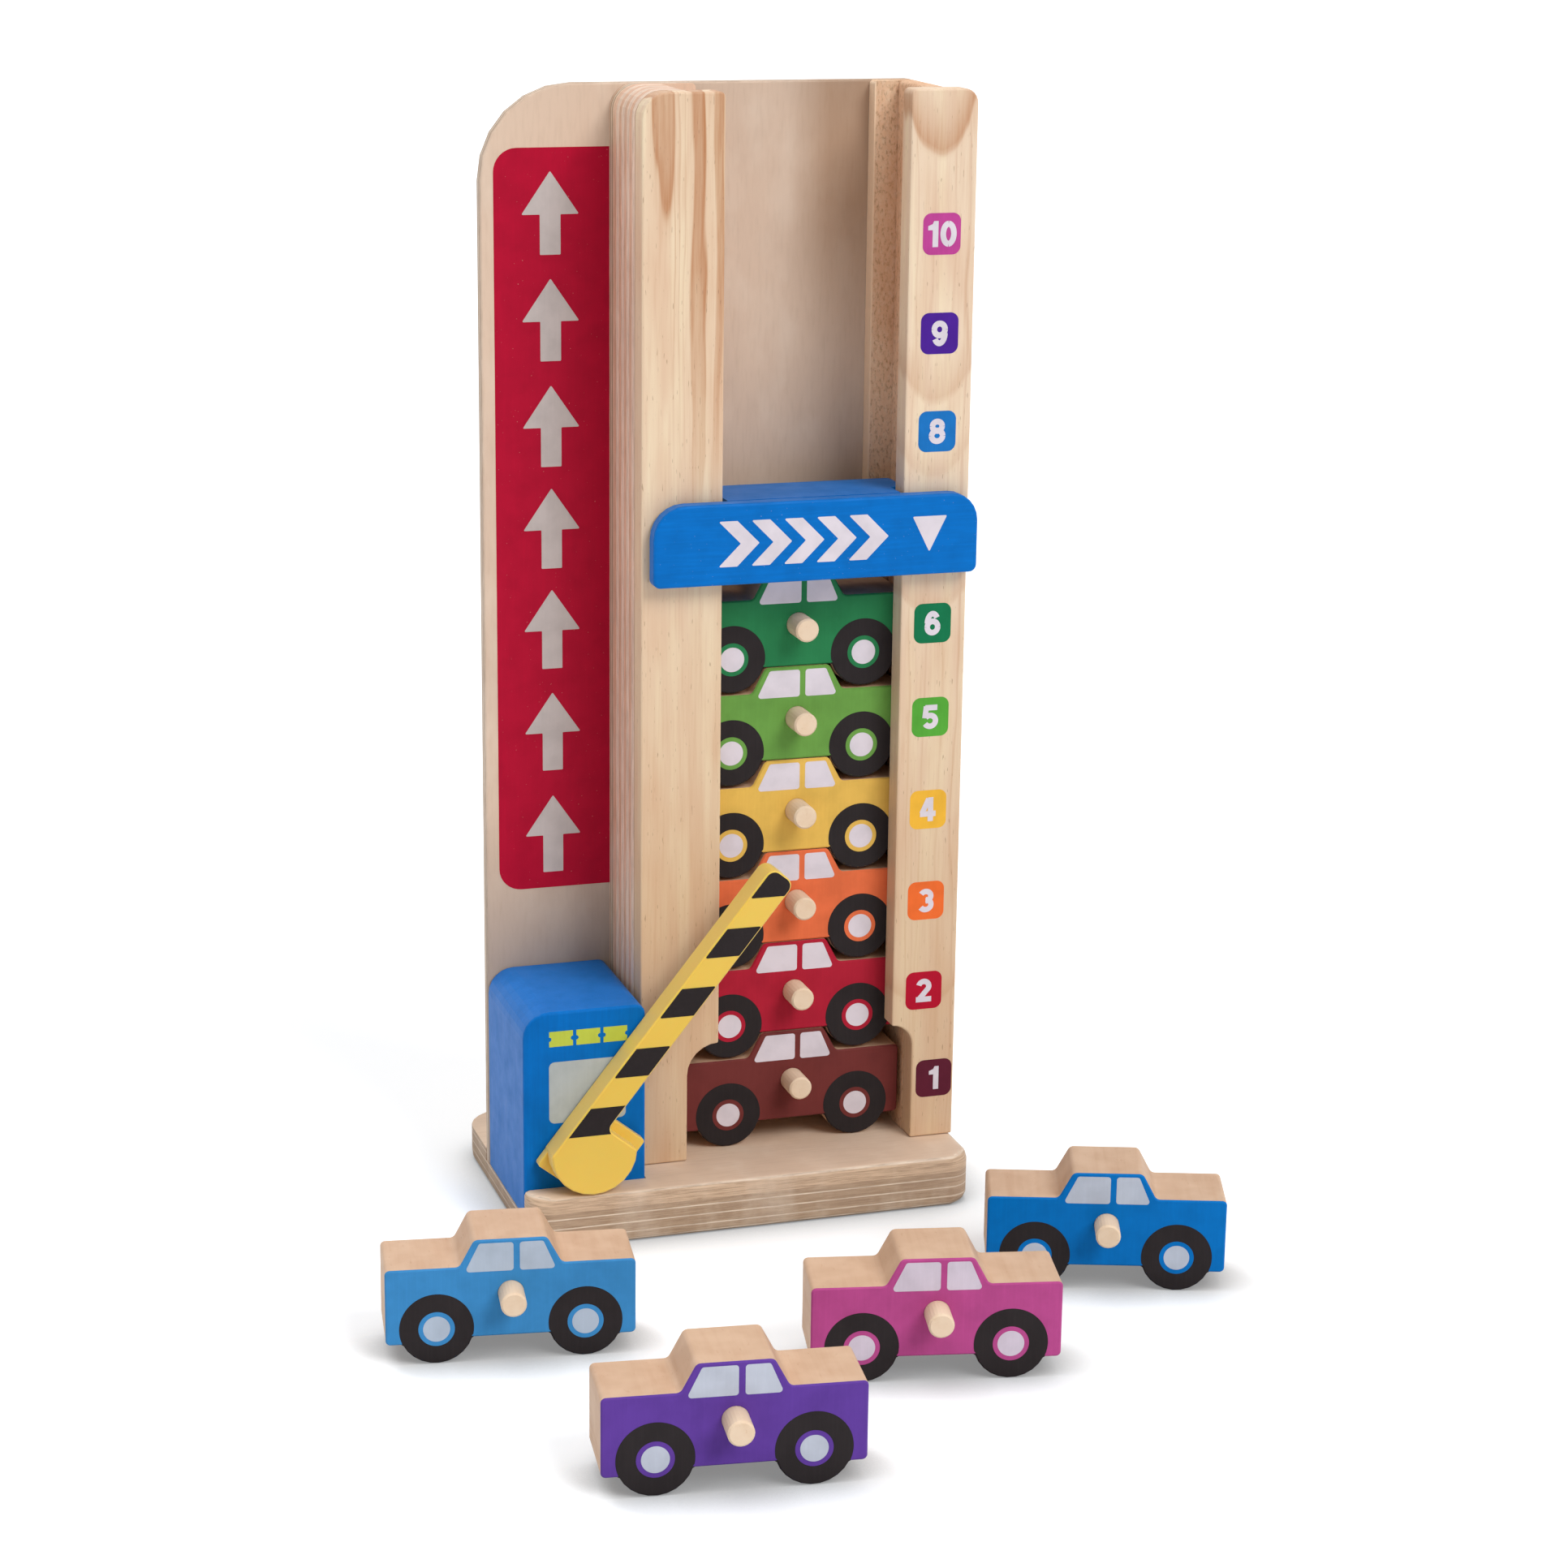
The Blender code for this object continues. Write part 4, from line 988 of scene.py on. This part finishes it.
def studio_sky(level):
    """The even light, and the white that the camera and reflections see instead of it."""
    world = bpy.data.worlds.new("Studio")
    bpy.context.scene.world = world
    tree = empty_tree(world)
    rays = add(tree, "LightPath").outputs
    seen = add(tree, "Math", {0: rays["Is Camera Ray"], 1: rays["Is Glossy Ray"]}, operation="MAXIMUM")
    seen = add(tree, "Math", {0: seen, 1: rays["Is Transmission Ray"]}, operation="MAXIMUM")
    strength = add(tree, "MapRange", {"Value": seen, "To Min": level})
    shader = add(tree, "Background", {"Color": (1, 1, 1, 1), "Strength": strength})
    add(tree, "OutputWorld", {"Surface": shader})


def studio_floor(side):
    """White matt paper, its sides that many metres off, with deeper shadows where something stands close."""
    mesh = bpy.data.meshes.new("floor")
    points = [(x, y, 0) for x, y in box_corners(-side, -side, side, side)]
    mesh.from_pydata(points, [], [(0, 1, 2, 3)])
    floor = put("floor", mesh)
    made = bpy.data.materials.new("White paper, matt")
    tree = empty_tree(made)
    white = "#F2F4F6"
    close = add(tree, "AmbientOcclusion", {"Distance": 26 * MM}, samples=8).outputs["AO"]
    shade = stain(tree, white, ("#7A7C7E", close, 0.9, 0.3, 1))
    paper = add(tree, "BsdfDiffuse", {"Color": shade})
    seen = add(tree, "LightPath").outputs["Is Camera Ray"]
    lift = add(tree, "Math", {0: seen, 1: 0.25}, operation="MULTIPLY")
    glow = add(tree, "Emission", {"Color": white, "Strength": lift})
    both = add(tree, "AddShader", {0: paper, 1: glow})
    add(tree, "OutputMaterial", {"Surface": both})
    mesh.materials.append(made)


class GARAGE_OT_studio(bpy.types.Operator):
    """Sets the floor, the lights and the camera"""

    bl_idname = "garage.studio"
    bl_label = "Studio"

    def execute(self, context):
        scene, studio = context.scene, context.scene.garage_studio
        scene.view_settings.view_transform = "Standard"
        studio_sky(studio.sky)
        studio_floor(15)
        sun("Key light", studio.key, 28, 42, 30)
        sun("Top light", studio.top, -100, 76, 44)
        sun("Rim light", studio.rim, -150, 52, 18)
        yaw, dip, roll = studio.heading, studio.dip, studio.roll
        ahead = Vector((math.sin(yaw) * math.cos(dip), math.cos(yaw) * math.cos(dip), -math.sin(dip)))
        level = Vector((math.cos(yaw), -math.sin(yaw), 0))
        upright = level.cross(ahead)
        right = level * math.cos(roll) + upright * math.sin(roll)
        up = upright * math.cos(roll) - level * math.sin(roll)
        turn = Matrix((right, up, -ahead)).transposed().to_4x4()
        lens = bpy.data.cameras.new("Camera")
        lens.lens = studio.lens
        lens.sensor_width = 36
        lens.clip_end = 60
        camera = put("Camera", lens)
        camera.matrix_world = Matrix.Translation(Vector(studio.eye)) @ turn
        scene.camera = camera
        return {"FINISHED"}


OPERATORS = (
    GARAGE_OT_tower,
    GARAGE_OT_sign,
    GARAGE_OT_booth,
    GARAGE_OT_gate,
    GARAGE_OT_marker,
    GARAGE_OT_levels,
    GARAGE_OT_cars,
    GARAGE_OT_car_fronts,
    GARAGE_OT_studio,
)
SETTINGS = {
    "garage_studio": StudioSettings,
    "garage_woods": WoodColours,
    "garage_paints": PaintColours,
    "garage_sizes": PrintSizes,
}


class GARAGE_PT_panel(bpy.types.Panel):
    """Lists the garage's settings and the steps that build its looks"""

    bl_idname = "GARAGE_PT_panel"
    bl_label = "Toy parking garage"
    bl_space_type = "VIEW_3D"
    bl_region_type = "UI"
    bl_category = "Parking garage"

    def draw(self, context):
        for operator in OPERATORS:
            self.layout.operator(operator.bl_idname)
        for name, group in SETTINGS.items():
            box = self.layout.box()
            box.label(text=group.__doc__)
            for field in group.__annotations__:
                box.prop(getattr(context.scene, name), field)


def register():
    """Registers the settings, the operators and the panel."""
    for name, group in SETTINGS.items():
        bpy.utils.register_class(group)
        setattr(bpy.types.Scene, name, bpy.props.PointerProperty(type=group))
    for cls in (*OPERATORS, GARAGE_PT_panel):
        bpy.utils.register_class(cls)


def unregister():
    """Takes them out again."""
    for cls in (GARAGE_PT_panel, *reversed(OPERATORS)):
        bpy.utils.unregister_class(cls)
    for name, group in SETTINGS.items():
        delattr(bpy.types.Scene, name)
        bpy.utils.unregister_class(group)


def main():
    """Builds the looks in order."""
    register()
    for operator in OPERATORS:
        module, name = operator.bl_idname.split(".")
        if getattr(getattr(bpy.ops, module), name)() != {"FINISHED"}:
            raise RuntimeError(f"{operator.bl_label} didn't finish")


if __name__ == "__main__":
    main()
